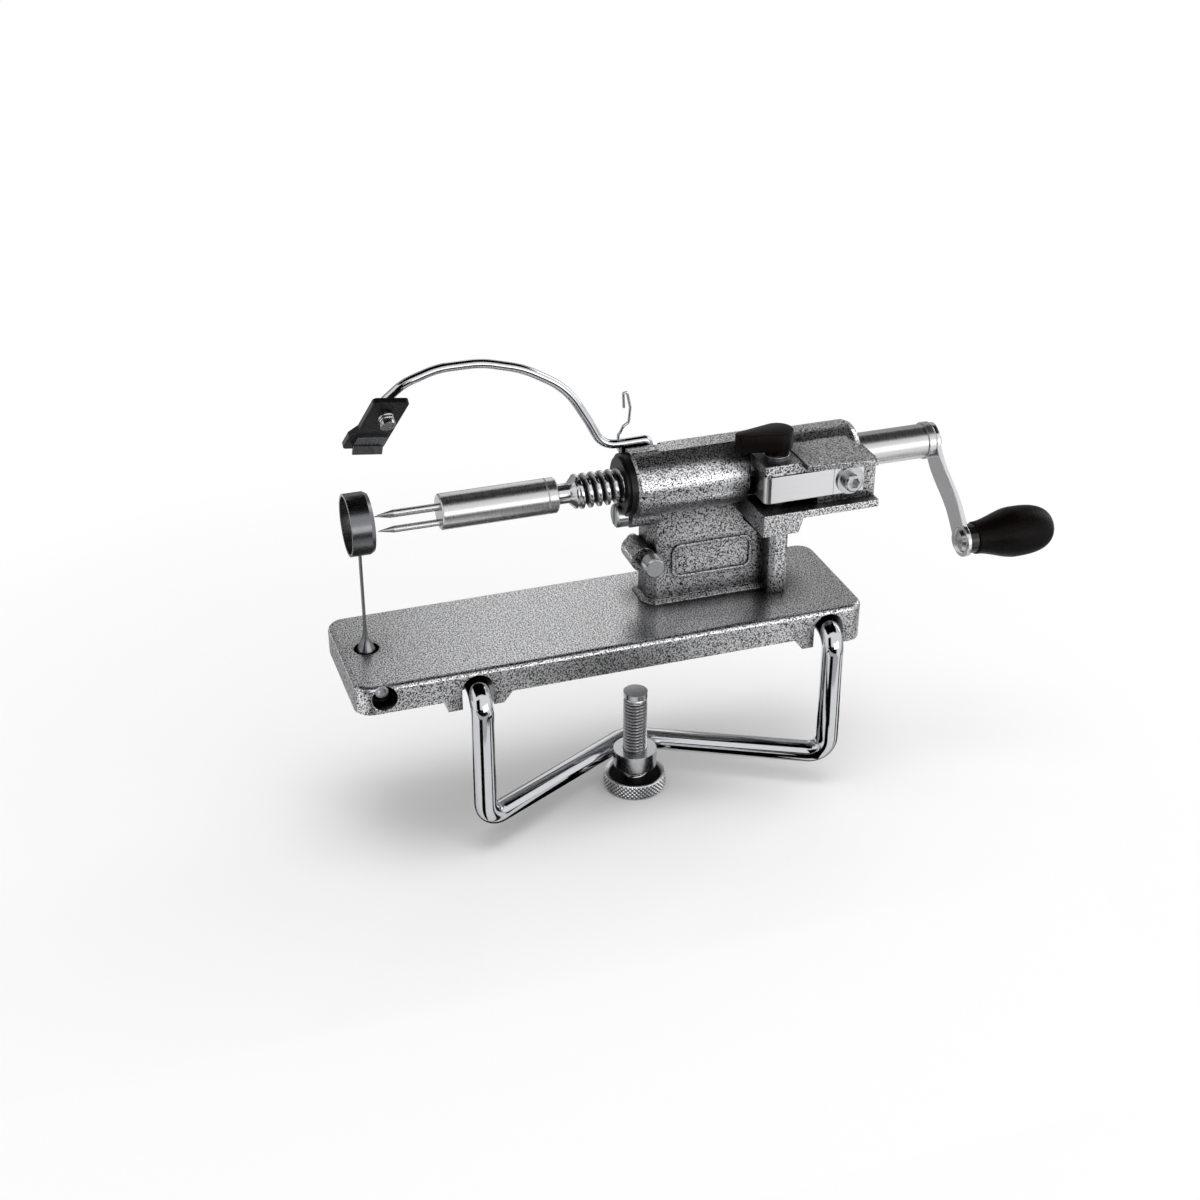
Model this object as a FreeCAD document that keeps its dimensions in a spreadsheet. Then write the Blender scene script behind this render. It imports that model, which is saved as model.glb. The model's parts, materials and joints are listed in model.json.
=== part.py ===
import FreeCAD, Part
import math
import os
import re
import Sketcher

# Hand-cranked apple peeler that clamps to a table edge, in millimetres.
# The origin is on the sole of the left foot, straight below the spindle.
# +X runs along the spindle to the crank, +Y goes in over the table, +Z is up.

Vector = FreeCAD.Vector
Rotation = FreeCAD.Rotation
Placement = FreeCAD.Placement

doc = FreeCAD.newDocument("ApplePeeler")
sheet = doc.addObject("Spreadsheet::Sheet", "Sizes")
SIZES = {
    # Running fits, wider room beside moving pieces, and how far a cutter runs past a face
    "fit_gap": 0.05,
    "side_gap": 0.3,
    "over": 1.0,
    # Base casting
    "base_left": 47.0,
    "base_length": 210.0,
    "base_front": 30.4,
    "base_depth": 58.0,
    "base_top": 16.0,
    "rim_height": 4.5,
    "base_wall": 5.0,
    "base_corner": 7.0,
    "base_edge": 2.2,
    "foot_left": 11.9,
    "foot_width": 22.1,
    "foot_slope": 3.6,
    "notch_radius": 6.25,
    "notch_depth": 14.0,
    "rib_wall": 1.0,
    # Spindle and its drive
    "spindle_height": 70.0,
    "spindle_radius": 7.0,
    "tube_front": 5.0,
    "tube_end": 41.2,
    "tube_wall": 1.6,
    "tube_edge": 0.5,
    "ring_inset": 4.1,
    "ring_groove": 0.3,
    "neck_radius": 4.0,
    "neck_length": 5.2,
    "thread_rise": 1.7,
    "thread_depth": 1.2,
    "thread_end": 153.0,
    "shaft_radius": 5.0,
    "shaft_seat": 12.0,
    "prong_length": 18.0,
    "prong_tip": 6.0,
    "prong_radius": 1.3,
    "prong_point": 0.15,
    "prong_circle": 3.9,
    "prong_count": 3,
    # Barrel and pedestal casting
    "barrel_over": 3.5,
    "barrel_length": 95.3,
    "barrel_radius": 13.5,
    "barrel_edge": 1.0,
    "barrel_end": 3.0,
    "pedestal_inset": 8.3,
    "pedestal_length": 49.9,
    "pedestal_front": 2.4,
    "pedestal_back": 10.1,
    "pedestal_bevel": 3.0,
    "plinth": 2.0,
    "recess_width": 10.0,
    "recess_low": 22.7,
    "recess_high": 32.2,
    "recess_depth": 6.2,
    "column_width": 7.6,
    "column_front": 10.1,
    "column_round": 2.6,
    "ridge_inset": 11.9,
    "ridge_rise": 13.5,
    "ridge_front": 3.3,
    "ridge_back": 5.1,
    "ridge_slope": 2.2,
    "sign_inset": 9.5,
    "sign_width": 34.5,
    "sign_lift": 10.3,
    "sign_height": 14.9,
    "sign_relief": 0.8,
    "sign_line": 1.2,
    "sign_corner": 4.0,
    # Screws that hold the casting from below
    "fixing_inset": 10.0,
    "fixing_radius": 3.0,
    "fixing_head": 4.8,
    "fixing_length": 14.0,
    # Release block beside the barrel
    "block_length": 49.0,
    "block_front": 27.4,
    "floor_drop": 9.0,
    "floor_plate": 3.0,
    "floor_boss": 9.0,
    "boss_width": 16.5,
    "boss_taper": 1.6,
    "rail_inner": 4.0,
    "collar_wall": 1.4,
    "collar_rise": 1.0,
    "roof_inset": 1.0,
    "roof_front": 25.0,
    "roof_rise": 6.4,
    "roof_sheet": 4.3,
    "plate_step": 0.5,
    "plate_sheet": 2.3,
    "plate_over": 4.7,
    "plate_flare": 3.3,
    "plate_inset": 4.4,
    "plate_skew": 2.6,
    "wall_inner": 6.0,
    "cam_inset": 9.8,
    "cam_y": 14.6,
    "cam_radius": 3.3,
    "cam_nose": 7.7,
    "nose_radius": 1.5,
    "nose_inset": 1.0,
    "cam_foot": 2.0,
    "cam_washer": 5.2,
    "cam_washer_sheet": 0.8,
    "knob_gap": 0.8,
    "knob_stem": 4.0,
    "stem_wall": 1.2,
    "knob_tip": 19.2,
    "knob_back": 6.2,
    "knob_width": 6.4,
    "knob_half_height": 5.3,
    "knob_middle": 7.3,
    # Feed leaf with its finger
    "leaf_back": 22.75,
    "leaf_sheet": 1.3,
    "leaf_inset": 1.5,
    "leaf_free": 29.0,
    "leaf_hold": 13.0,
    "leaf_drop": 5.6,
    "leaf_height": 11.1,
    "leaf_bend": 2.6,
    "finger_gap": 0.35,
    "slot_room": 0.7,
    "slot_side": 2.0,
    "leaf_screw_inset": 7.0,
    "leaf_screw_sink": 11.0,
    "leaf_head": 3.75,
    "leaf_head_length": 3.2,
    "key_depth": 2.4,
    "washer_radius": 5.8,
    "washer_sheet": 1.0,
    # Bush and its screw
    "flange_length": 2.5,
    "collar_length": 1.3,
    "bush_radius": 12.5,
    "bush_collar": 11.2,
    "sleeve_radius": 9.5,
    "sleeve_length": 20.0,
    "bush_screw_drop": 13.0,
    "bush_head": 4.8,
    "bush_head_out": 2.0,
    "bush_head_length": 4.4,
    "bush_shank": 2.5,
    "bush_screw_sink": 8.0,
    "screw_boss": 5.5,
    "boss_sink": 4.0,
    "screw_slot": 1.4,
    "slot_depth": 1.6,
    "screw_edge": 0.6,
    # Crank and grip
    "rear_length": 45.6,
    "hub_length": 3.4,
    "hub_radius": 7.6,
    "crank_step": 3.0,
    "crank_sheet": 2.0,
    "bend_clear": 3.0,
    "bend_run": 8.0,
    "crank_radius": 43.2,
    "crank_angle": 39.0,
    "eye_radius": 7.0,
    "arm_half_width": 5.6,
    "pin_radius": 3.0,
    "pin_short": 8.0,
    "dome_height": 2.4,
    "dome_brim": 2.4,
    "grip_gap": 3.7,
    "grip_length": 38.7,
    "grip_radius": 10.7,
    "grip_neck": 6.6,
    "grip_lip": 0.6,
    # Peeling arm and its lug
    "arm_wire": 1.75,
    "arm_y": 5.6,
    "pivot_inset": 10.6,
    "pivot_rise": 11.6,
    "arm_pin": 1.1,
    "arm_eye": 2.1,
    "arm_eye_width": 3.6,
    "arm_reach": 104.1,
    "tip_rise": 29.4,
    "bow_rise": 44.4,
    "tail_rise": 3.6,
    "arm_end": 5.0,
    "arm_turn": 4.2,
    "groove_length": 14.6,
    "groove_height": 12.0,
    "lug_length": 11.2,
    "lug_front": 1.9,
    "lug_back": 11.0,
    "lug_rise": 13.8,
    # Return spring and its anchor
    "anchor_inset": 7.8,
    "anchor_rise": 20.7,
    "anchor_head": 4.25,
    "anchor_head_length": 5.4,
    "anchor_out": 8.6,
    "anchor_boss": 5.2,
    "anchor_shift": 1.8,
    "anchor_neck": 1.4,
    "anchor_tail": 2.0,
    "anchor_waist": 1.0,
    "spring_radius": 2.45,
    "spring_wire": 0.55,
    "spring_pitch": 1.56,
    "spring_inset": 8.8,
    "spring_y": 14.6,
    "spring_gap": 7.5,
    "spring_drop": 8.5,
    "hook_inset": 1.4,
    # Blade holder
    "holder_width": 14.0,
    "holder_above": 8.5,
    "holder_below": 24.0,
    "holder_sheet": 2.0,
    "holder_step": 2.4,
    "holder_foot": 9.0,
    "holder_corner": 1.5,
    "window_height": 2.4,
    "peel_sheet": 0.8,
    "peel_out": 2.9,
    "cap_rim": 1.2,
    "cap_length": 1.6,
    "cap_seat": 4.4,
    "coil_radius": 2.45,
    "coil_wire": 0.5,
    "coil_pitch": 1.3,
    "coil_turns": 1.5,
    "holder_lean": 36.7,
    "holder_tilt": 13.0,
    # Slicing blade and corer ring
    "blade_inset": 10.8,
    "blade_hole": 5.0,
    "blade_sheet": 1.4,
    "blade_width": 12.0,
    "blade_taper": 13.0,
    "blade_foot": 5.0,
    "shank_half": 3.4,
    "shank_deep": 4.4,
    "edge_bevel": 2.0,
    "ring_inner": 11.0,
    "ring_wall": 1.0,
    "ring_length": 9.0,
    "ring_bevel": 1.5,
    "ring_edge": 0.15,
    "set_hole": 5.0,
    "set_drop": 5.2,
    "set_inset": 3.0,
    "set_head": 4.2,
    "set_head_length": 4.0,
    # Table clamp
    "leg_inset": 16.3,
    "rod_radius": 4.45,
    "leg_front": 35.6,
    "leg_bend": 8.0,
    "rod_height": 7.85,
    "rod_short": 4.0,
    "span_height": 49.0,
    "apex_shift": 1.35,
    "apex_y": 2.6,
    "apex_bend": 10.0,
    "boss_shift": 2.35,
    "boss_y": 11.4,
    "boss_radius": 9.0,
    "boss_top": 45.5,
    "boss_height": 7.3,
    "stud_radius": 5.0,
    "pad_top": 18.0,
    "pad_thick": 3.0,
    "wheel_top": 57.0,
    "wheel_height": 6.0,
    "wheel_radius": 13.0,
    "wheel_edge": 1.0,
    "dish_depth": 1.4,
    "dish_rim": 3.0,
}

# Places that follow from the sizes
PLACES = {
    "base_right": "base_length - base_left",
    "base_back": "base_depth - base_front",
    "leg_x": "base_right - leg_inset",
    "blade_x": "base_left - blade_inset",
    "set_height": "base_top - set_drop",
    "ring_place": "tube_end - ring_inset",
    "neck_end": "tube_end + neck_length",
    "thread_start": "neck_end + thread_rise",
    "hub_start": "thread_end + rear_length",
    "crank_face": "hub_start + hub_length",
    "pin_face": "crank_face + crank_step",
    "grip_start": "pin_face + crank_sheet + grip_gap",
    "pin_y": "-crank_radius*sin(crank_angle*1deg)",
    "pin_z": "spindle_height - crank_radius*cos(crank_angle*1deg)",
    "barrel_right": "base_right + barrel_over",
    "barrel_left": "barrel_right - barrel_length",
    "pedestal_left": "barrel_left + pedestal_inset",
    "pedestal_right": "pedestal_left + pedestal_length",
    "fixing_y": "(pedestal_back - pedestal_front)/2",
    "ridge_left": "barrel_left + ridge_inset",
    "ridge_top": "spindle_height + ridge_rise",
    "block_left": "barrel_right - block_length",
    "floor_top": "spindle_height - floor_drop",
    "floor_under": "floor_top - floor_plate",
    "boss_under": "floor_top - floor_boss",
    "roof_under": "spindle_height + roof_rise",
    "roof_top": "roof_under + roof_sheet",
    "plate_top": "roof_top + plate_step",
    "cam_x": "block_left + cam_inset",
    "knob_base": "plate_top + knob_gap",
    "leaf_left": "block_left + leaf_inset",
    "leaf_seam": "leaf_left + leaf_free",
    "leaf_screw_x": "leaf_seam + leaf_screw_inset",
    "leaf_bottom": "spindle_height - leaf_drop",
    "leaf_middle": "leaf_bottom + leaf_height/2",
    "leaf_front": "leaf_back + leaf_sheet",
    "washer_front": "leaf_front + washer_sheet",
    "bush_step": "barrel_left - flange_length",
    "bush_front": "bush_step - collar_length",
    "bush_head_front": "bush_front - bush_head_out",
    "bush_head_back": "bush_head_front + bush_head_length",
    "bush_screw_z": "spindle_height - bush_screw_drop",
    "pivot_x": "barrel_left + pivot_inset",
    "pivot_z": "spindle_height + pivot_rise",
    "anchor_x": "barrel_left + anchor_inset",
    "anchor_z": "base_top + anchor_rise",
    "boss_x": "leg_x/2 - boss_shift",
}

for row, (name, value) in enumerate(SIZES.items(), start=1):
    sheet.set("A%d" % row, name.replace("_", " "))
    sheet.set("B%d" % row, str(value))
    sheet.setAlias("B%d" % row, name)
doc.recompute()


def link(formula):
    """Point every size and place named in a formula at where it is kept."""
    def home(match):
        word = match.group(0)
        if word in SIZES:
            return "Sizes." + word
        return "Places." + word if word in PLACES else word
    return re.sub(r"[a-z][a-z0-9_]*", home, formula)


places = doc.addObject("App::VarSet", "Places")
for name in PLACES:
    places.addProperty("App::PropertyFloat", name)
for name, formula in PLACES.items():
    places.setExpression(name, link(formula))
doc.recompute()


def mm(name):
    """Read one size or place back."""
    return float(sheet.get(name)) if name in SIZES else float(getattr(places, name))


# Small helpers for primitives, profiles and booleans
TURNS = {
    "x": Rotation(Vector(0, 1, 0), 90),
    "y": Rotation(Vector(1, 0, 0), -90),
    "z": Rotation(),
}
pieces = {}


def place(obj, x, y, z):
    """Bind the position of an object to three formulas."""
    for letter, formula in zip("xyz", (x, y, z)):
        obj.setExpression("Placement.Base." + letter, link(formula))


def block(label, x, y, z, length, width, height):
    box = doc.addObject("Part::Box", label)
    box.setExpression("Length", link(length))
    box.setExpression("Width", link(width))
    box.setExpression("Height", link(height))
    place(box, x, y, z)
    return box


def bar(label, axis, x, y, z, radius, length):
    """A round bar that starts at x, y, z and runs along +axis."""
    cylinder = doc.addObject("Part::Cylinder", label)
    cylinder.setExpression("Radius", link(radius))
    cylinder.setExpression("Height", link(length))
    cylinder.Placement.Rotation = TURNS[axis]
    place(cylinder, x, y, z)
    return cylinder


def join(label, *shapes):
    fuse = doc.addObject("Part::MultiFuse", label)
    fuse.Shapes = list(shapes)
    fuse.Refine = True
    return fuse


def cut(label, base, *tools):
    result = doc.addObject("Part::Cut", label)
    result.Base = base
    result.Tool = tools[0] if len(tools) == 1 else join(label + "_cutter", *tools)
    result.Refine = True
    return result


def soften(label, base, radius, chosen):
    """Round every edge of base that the test picks."""
    doc.recompute()
    fillet = doc.addObject("Part::Fillet", label)
    fillet.Base = base
    picked = [i + 1 for i, edge in enumerate(base.Shape.Edges) if chosen(edge)]
    fillet.Edges = [(i, radius, radius) for i in picked]
    return fillet


def drawn(body, plane, offset, corners):
    """A closed sketch whose every corner is bound to two formulas."""
    sketch = body.newObject("Sketcher::SketchObject", body.Name + "_profile")
    planes = [f for f in body.Origin.OriginFeatures if f.Role == plane + "_Plane"]
    sketch.AttachmentSupport = [(planes[0], "")]
    sketch.MapMode = "FlatFace"
    sketch.setExpression("AttachmentOffset.Base.z", link(offset))
    count = len(corners)
    ring = [Vector(30 * math.cos(2 * math.pi * i / count),
                   30 * math.sin(2 * math.pi * i / count), 0) for i in range(count)]
    for i in range(count):
        sketch.addGeometry(Part.LineSegment(ring[i], ring[(i + 1) % count]), False)
    for i in range(count):
        sketch.addConstraint(Sketcher.Constraint("Coincident", i, 2, (i + 1) % count, 1))
    for i, (across, up) in enumerate(corners):
        for kind, formula, guess in (("DistanceX", across, ring[i].x), ("DistanceY", up, ring[i].y)):
            number = sketch.addConstraint(Sketcher.Constraint(kind, -1, 1, i, 1, guess))
            sketch.setExpression("Constraints[%d]" % number, link(formula))
    return sketch


def padded(label, plane, offset, length, corners):
    """An outline padded along its plane's normal."""
    body = doc.addObject("PartDesign::Body", label)
    sketch = drawn(body, plane, offset, corners)
    pad = body.newObject("PartDesign::Pad", label + "_pad")
    pad.Profile = sketch
    pad.setExpression("Length", link(length))
    return body


def turned(label, axis, x, y, z, corners):
    """A profile of (along, radius) corners revolved about the axis."""
    body = doc.addObject("PartDesign::Body", label)
    sketch = drawn(body, "XY", "0", corners)
    revolution = body.newObject("PartDesign::Revolution", label + "_turn")
    revolution.Profile = sketch
    revolution.ReferenceAxis = (sketch, ["H_Axis"])
    revolution.Angle = 360
    if axis == "y":
        body.Placement.Rotation = Rotation(Vector(0, 0, 1), 90)
    if axis == "z":
        body.Placement.Rotation = Rotation(Vector(0, 1, 0), -90)
    place(body, x, y, z)
    return body


def shaped(label, shape, placement=None):
    feature = doc.addObject("Part::Feature", label)
    feature.Shape = shape
    if placement:
        feature.Placement = placement
    return feature


def node(name, obj):
    """Name an object as one of the finished pieces."""
    obj.Label = name
    pieces[name] = obj
    return obj


def rod_path(points, bends):
    """Straight runs joined by tangent arcs of the given radii."""
    edges = []
    start = points[0]
    for before, corner, after, bend in zip(points, points[1:], points[2:], bends):
        back = (before - corner).normalize()
        ahead = (after - corner).normalize()
        half = back.getAngle(ahead) / 2
        setback = bend / math.tan(half)
        inward = (back + ahead).normalize()
        first = corner + back * setback
        last = corner + ahead * setback
        middle = corner + inward * (bend / math.sin(half) - bend)
        if (first - start).Length > 0.001:
            edges.append(Part.LineSegment(start, first).toShape())
        edges.append(Part.Arc(first, middle, last).toShape())
        start = last
    edges.append(Part.LineSegment(start, points[-1]).toShape())
    return Part.Wire(edges)


def round_rod(path, radius):
    """A round section carried along a path."""
    edge = path.OrderedEdges[0]
    begin = edge.valueAt(edge.FirstParameter)
    circle = Part.makeCircle(radius, begin, edge.tangentAt(edge.FirstParameter))
    return path.makePipeShell([Part.Wire(circle)], True, False)


def upright(edge):
    ends = [v.Point for v in edge.Vertexes]
    return len(ends) == 2 and (ends[0] - ends[1]).cross(Vector(0, 0, 1)).Length < 0.001


def across(edge):
    """Whether a straight edge runs along Y."""
    ends = [v.Point for v in edge.Vertexes]
    return len(ends) == 2 and (ends[0] - ends[1]).cross(Vector(0, 1, 0)).Length < 0.001


def leaf_corner(inset):
    """Picks the upright edge where the leaf turns in, on its outer or inner side."""
    corner = Vector(mm("leaf_left") + inset, -mm("leaf_front") + inset, 0)

    def test(edge):
        foot = edge.Vertexes[0].Point
        return upright(edge) and math.hypot(foot.x - corner.x, foot.y - corner.y) < 0.01
    return test


def level_at(height):
    def test(edge):
        return all(abs(v.Point.z - height) < 0.001 for v in edge.Vertexes)
    return test


# Base casting: a shallow box with two feet across it
base_outer = block("base_outer", "-base_left", "-base_front", "rim_height",
                   "base_length", "base_depth", "base_top - rim_height")
base_round = soften("base_round", base_outer, mm("base_corner"), upright)
base_soft = soften("base_soft", base_round, mm("base_edge"), level_at(mm("base_top")))
base_hollow = block("base_hollow", "-base_left + base_wall", "-base_front + base_wall",
                    "rim_height - over", "base_length - 2*base_wall",
                    "base_depth - 2*base_wall", "base_top - base_wall - rim_height + over")
base_shell = cut("base_shell", base_soft, base_hollow)
left_foot = padded("left_foot", "XZ", "-base_back", "base_depth", [
    ("-foot_left", "0"),
    ("-foot_left + foot_width", "0"),
    ("-foot_left + foot_width + foot_slope", "rim_height"),
    ("-foot_left + foot_width + foot_slope", "base_top - base_edge"),
    ("-foot_left", "base_top - base_edge")])
right_foot = padded("right_foot", "XZ", "-base_back", "base_depth", [
    ("leg_x - foot_width/2", "0"),
    ("base_right", "0"),
    ("base_right", "base_top - base_edge"),
    ("leg_x - foot_width/2 - foot_slope", "base_top - base_edge"),
    ("leg_x - foot_width/2 - foot_slope", "rim_height")])
foot_corner = soften("foot_corner", right_foot, mm("base_corner"),
                     lambda edge: upright(edge)
                     and abs(edge.Vertexes[0].Point.x - mm("base_right")) < 0.01)
blade_boss = bar("blade_boss", "z", "-blade_x", "0", "rim_height",
                 "blade_hole + base_wall", "base_top - rim_height - base_edge")
set_rib = block("set_rib", "-blade_x - set_hole - rib_wall", "-base_front + base_wall/2",
                "rim_height", "2*set_hole + 2*rib_wall", "base_front - base_wall/2",
                "base_top - rim_height - base_edge")
base_solid = join("base_solid", base_shell, left_foot, foot_corner, blade_boss, set_rib)
notches = []
for side, place_x in (("left", "0"), ("right", "leg_x")):
    notches.append(bar("arch_" + side, "y", place_x, "-base_front - over", "rod_height",
                       "notch_radius", "notch_depth + over"))
    notches.append(block("gate_" + side, place_x + " - notch_radius", "-base_front - over", "-over",
                         "2*notch_radius", "notch_depth + over", "rod_height + over"))
    notches.append(bar("socket_" + side, "y", place_x, "-base_front", "rod_height",
                       "rod_radius + fit_gap", "base_depth - base_wall"))
blade_seat = bar("blade_seat", "z", "-blade_x", "0", "0", "blade_hole", "base_top + over")
set_mouth = bar("set_mouth", "y", "-blade_x", "-base_front - over", "set_height", "set_hole",
                "set_inset + set_head_length + over")
set_thread = bar("set_thread", "y", "-blade_x", "-base_front", "set_height",
                 "pin_radius", "base_front")
FIXINGS = ("pedestal_left + fixing_inset", "pedestal_right - fixing_inset")
for k, x in enumerate(FIXINGS):
    notches.append(bar("base_hole_%d" % k, "z", x, "fixing_y", "0", "fixing_radius",
                       "base_top + over"))
    notches.append(bar("head_room_%d" % k, "z", x, "fixing_y", "-over", "fixing_head + fit_gap",
                       "base_top - base_wall + over"))
node("base_plate", cut("base_cut", base_solid, *notches, blade_seat, set_mouth, set_thread))

# Pedestal, barrel and release block: one casting
pedestal_block = padded("pedestal_block", "XY", "base_top", "spindle_height - base_top", [
    ("pedestal_left + pedestal_bevel", "-pedestal_front"),
    ("pedestal_right", "-pedestal_front"),
    ("pedestal_right", "pedestal_back"),
    ("pedestal_left", "pedestal_back"),
    ("pedestal_left", "-pedestal_front + 1.3*pedestal_bevel")])
recess = padded("recess", "XZ", "pedestal_front - recess_depth", "recess_depth + over", [
    ("pedestal_right - recess_width", "base_top + recess_high"),
    ("pedestal_right - over", "base_top + recess_low"),
    ("pedestal_right + over", "base_top + recess_low"),
    ("pedestal_right + over", "spindle_height + over"),
    ("pedestal_right - recess_width", "spindle_height + over")])
pedestal = cut("pedestal", pedestal_block, recess)
plinth_block = padded("plinth_block", "XY", "base_top", "plinth", [
    ("pedestal_left + pedestal_bevel - plinth/2", "-pedestal_front - plinth"),
    ("pedestal_right", "-pedestal_front - plinth"),
    ("pedestal_right", "pedestal_back + plinth"),
    ("pedestal_left - plinth", "pedestal_back + plinth"),
    ("pedestal_left - plinth", "-pedestal_front + 1.3*pedestal_bevel - plinth/2")])
plinth = doc.addObject("Part::Chamfer", "plinth_foot")
plinth.Base = plinth_block
doc.recompute()
plinth_rim = [i + 1 for i, edge in enumerate(plinth_block.Shape.Edges)
              if level_at(mm("base_top") + mm("plinth"))(edge)]
plinth.Edges = [(i, 0.8 * mm("plinth"), 0.8 * mm("plinth")) for i in plinth_rim]
column_block = block("column_block", "pedestal_right - over", "-column_front", "base_top",
                     "column_width + over", "column_front + pedestal_back",
                     "floor_under - base_top")
column = soften("column", column_block, mm("column_round"),
                lambda edge: upright(edge) and edge.Vertexes[0].Point.y < 0)
barrel = turned("barrel", "x", "0", "0", "spindle_height", [
    ("barrel_left", "0"),
    ("barrel_left", "barrel_radius - barrel_edge"),
    ("barrel_left + barrel_edge", "barrel_radius"),
    ("barrel_right - barrel_end", "barrel_radius"),
    ("barrel_right - 0.3*barrel_end", "barrel_radius - 0.3*barrel_end"),
    ("barrel_right", "barrel_radius - barrel_end"),
    ("barrel_right", "0")])
ridge_across = padded("ridge_across", "YZ", "ridge_left - ridge_slope",
                      "block_left - ridge_left + boss_width", [
    ("-ridge_front", "ridge_top"),
    ("-ridge_front - ridge_slope", "ridge_top - ridge_slope*0.6"),
    ("-ridge_front - ridge_slope", "spindle_height"),
    ("ridge_back + ridge_slope", "spindle_height"),
    ("ridge_back + ridge_slope", "ridge_top - ridge_slope*0.6"),
    ("ridge_back", "ridge_top")])
ridge_end = padded("ridge_end", "XZ", "-barrel_radius", "2*barrel_radius", [
    ("ridge_left", "ridge_top + over"),
    ("ridge_left - ridge_slope - over", "ridge_top + over"),
    ("ridge_left - ridge_slope - over", "ridge_top - ridge_slope*0.7"),
    ("ridge_left - ridge_slope", "ridge_top - ridge_slope*0.7"),
    ("ridge_left", "ridge_top")])
ridge = cut("ridge", ridge_across, ridge_end)
screw_boss = bar("screw_boss", "x", "barrel_left", "0", "bush_screw_z",
                 "screw_boss", "pedestal_inset + boss_sink")
anchor_boss = bar("anchor_boss_bar", "y", "anchor_x - anchor_shift", "-pedestal_front", "anchor_z",
                  "anchor_boss", "pedestal_front + pedestal_back")
floor_low = padded("floor_low", "XZ", "pedestal_front", "block_front - pedestal_front", [
    ("block_left", "boss_under"),
    ("block_left + boss_width - boss_taper", "boss_under"),
    ("block_left + boss_width", "floor_under - over"),
    ("block_left + boss_width", "floor_top"),
    ("block_left", "floor_top")])
floor_rail = block("floor_rail", "block_left", "-block_front", "floor_under",
                   "block_length", "block_front - rail_inner", "floor_plate")
cam_collar = bar("cam_collar", "z", "cam_x", "-cam_y", "floor_top - over",
                 "cam_radius + collar_wall", "collar_rise + over")
roof_rail = block("roof_rail", "block_left + roof_inset", "-roof_front", "roof_under",
                  "boss_width", "roof_front - rail_inner", "roof_sheet")
roof_step = block("roof_step", "block_left + boss_width", "-roof_front", "roof_under",
                  "block_length - boss_width - plate_inset - plate_skew",
                  "roof_front - rail_inner", "plate_top - roof_under - over")
roof_plate = padded("roof_plate", "XY", "plate_top - plate_sheet", "plate_sheet", [
    ("block_left + boss_width", "-roof_front - plate_over"),
    ("barrel_right - plate_inset", "-roof_front - plate_over - plate_flare"),
    ("barrel_right - plate_inset - plate_skew", "-rail_inner"),
    ("block_left + boss_width", "-rail_inner")])
back_wall = block("back_wall", "leaf_seam - wall_inner", "-leaf_back", "floor_top - over",
                  "barrel_right - leaf_seam + wall_inner", "leaf_back - wall_inner",
                  "roof_under - floor_top + 2*over")
lug = block("lug", "barrel_left", "-lug_front", "spindle_height",
            "lug_length", "lug_front + lug_back", "lug_rise")
sign_outer = block("sign_outer", "pedestal_left + sign_inset", "-pedestal_front - sign_relief",
                   "base_top + sign_lift", "sign_width", "sign_relief + over", "sign_height")
sign_round = soften("sign_round", sign_outer, mm("sign_corner"), across)
sign_inner = block("sign_inner", "pedestal_left + sign_inset + sign_line",
                   "-pedestal_front - sign_relief - over", "base_top + sign_lift + sign_line",
                   "sign_width - 2*sign_line", "sign_relief + over", "sign_height - 2*sign_line")
sign_bare = soften("sign_bare", sign_inner, mm("sign_corner") - mm("sign_line"), across)
sign_frame = cut("sign_frame", sign_round, sign_bare)
casting = join("casting", pedestal, plinth, column, barrel, ridge, screw_boss, anchor_boss,
               floor_low, floor_rail, cam_collar, roof_rail, roof_step, roof_plate, back_wall,
               lug, sign_frame)
bore = bar("bore", "x", "barrel_left - over", "0", "spindle_height",
           "spindle_radius + fit_gap", "barrel_length + 2*over")
sleeve_bore = bar("sleeve_bore", "x", "barrel_left - over", "0", "spindle_height",
                  "sleeve_radius", "sleeve_length + over")
screw_bore = bar("screw_bore", "x", "barrel_left - over", "0", "bush_screw_z",
                 "bush_shank", "pedestal_inset + bush_screw_sink + 2*over")
finger_slot = block("finger_slot", "leaf_left - slot_side", "-block_front - over",
                    "leaf_bottom - slot_room", "leaf_sheet + slot_side + slot_room",
                    "block_front + over - rail_inner", "leaf_height + 2*slot_room")
cam_bore = bar("cam_bore", "z", "cam_x", "-cam_y", "boss_under - over",
               "cam_radius + fit_gap", "plate_top - boss_under + 2*over")
cam_pocket = block("cam_pocket", "cam_x", "-leaf_back", "leaf_bottom + side_gap",
                   "cam_nose + 2*nose_radius", "leaf_back - cam_y + nose_radius + side_gap",
                   "leaf_height - 2*side_gap")
leaf_bore = bar("leaf_bore", "y", "leaf_screw_x", "-leaf_back - over", "leaf_middle", "bush_shank",
                "leaf_screw_sink + 2*over")
pivot_bore = bar("pivot_bore", "y", "pivot_x", "-lug_front - over", "pivot_z", "arm_pin",
                 "lug_front + lug_back + 2*over")
arm_groove = block("arm_groove", "barrel_left - over", "arm_y - arm_eye_width/2 - side_gap",
                   "pivot_z - arm_eye - side_gap", "groove_length + over",
                   "arm_eye_width + 2*side_gap", "groove_height")
anchor_bore = bar("anchor_bore", "y", "anchor_x", "-pedestal_front - over", "anchor_z",
                  "bush_shank", "pedestal_front + pedestal_back + 2*over")
fixing_holes = [bar("fixing_hole_%d" % k, "z", x, "fixing_y", "base_top - over", "fixing_radius",
                    "fixing_length + 2*over") for k, x in enumerate(FIXINGS)]
node("housing", cut("housing_cut", casting, bore, sleeve_bore, screw_bore, finger_slot,
                    cam_bore, cam_pocket, leaf_bore, pivot_bore, arm_groove, anchor_bore,
                    *fixing_holes))
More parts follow.
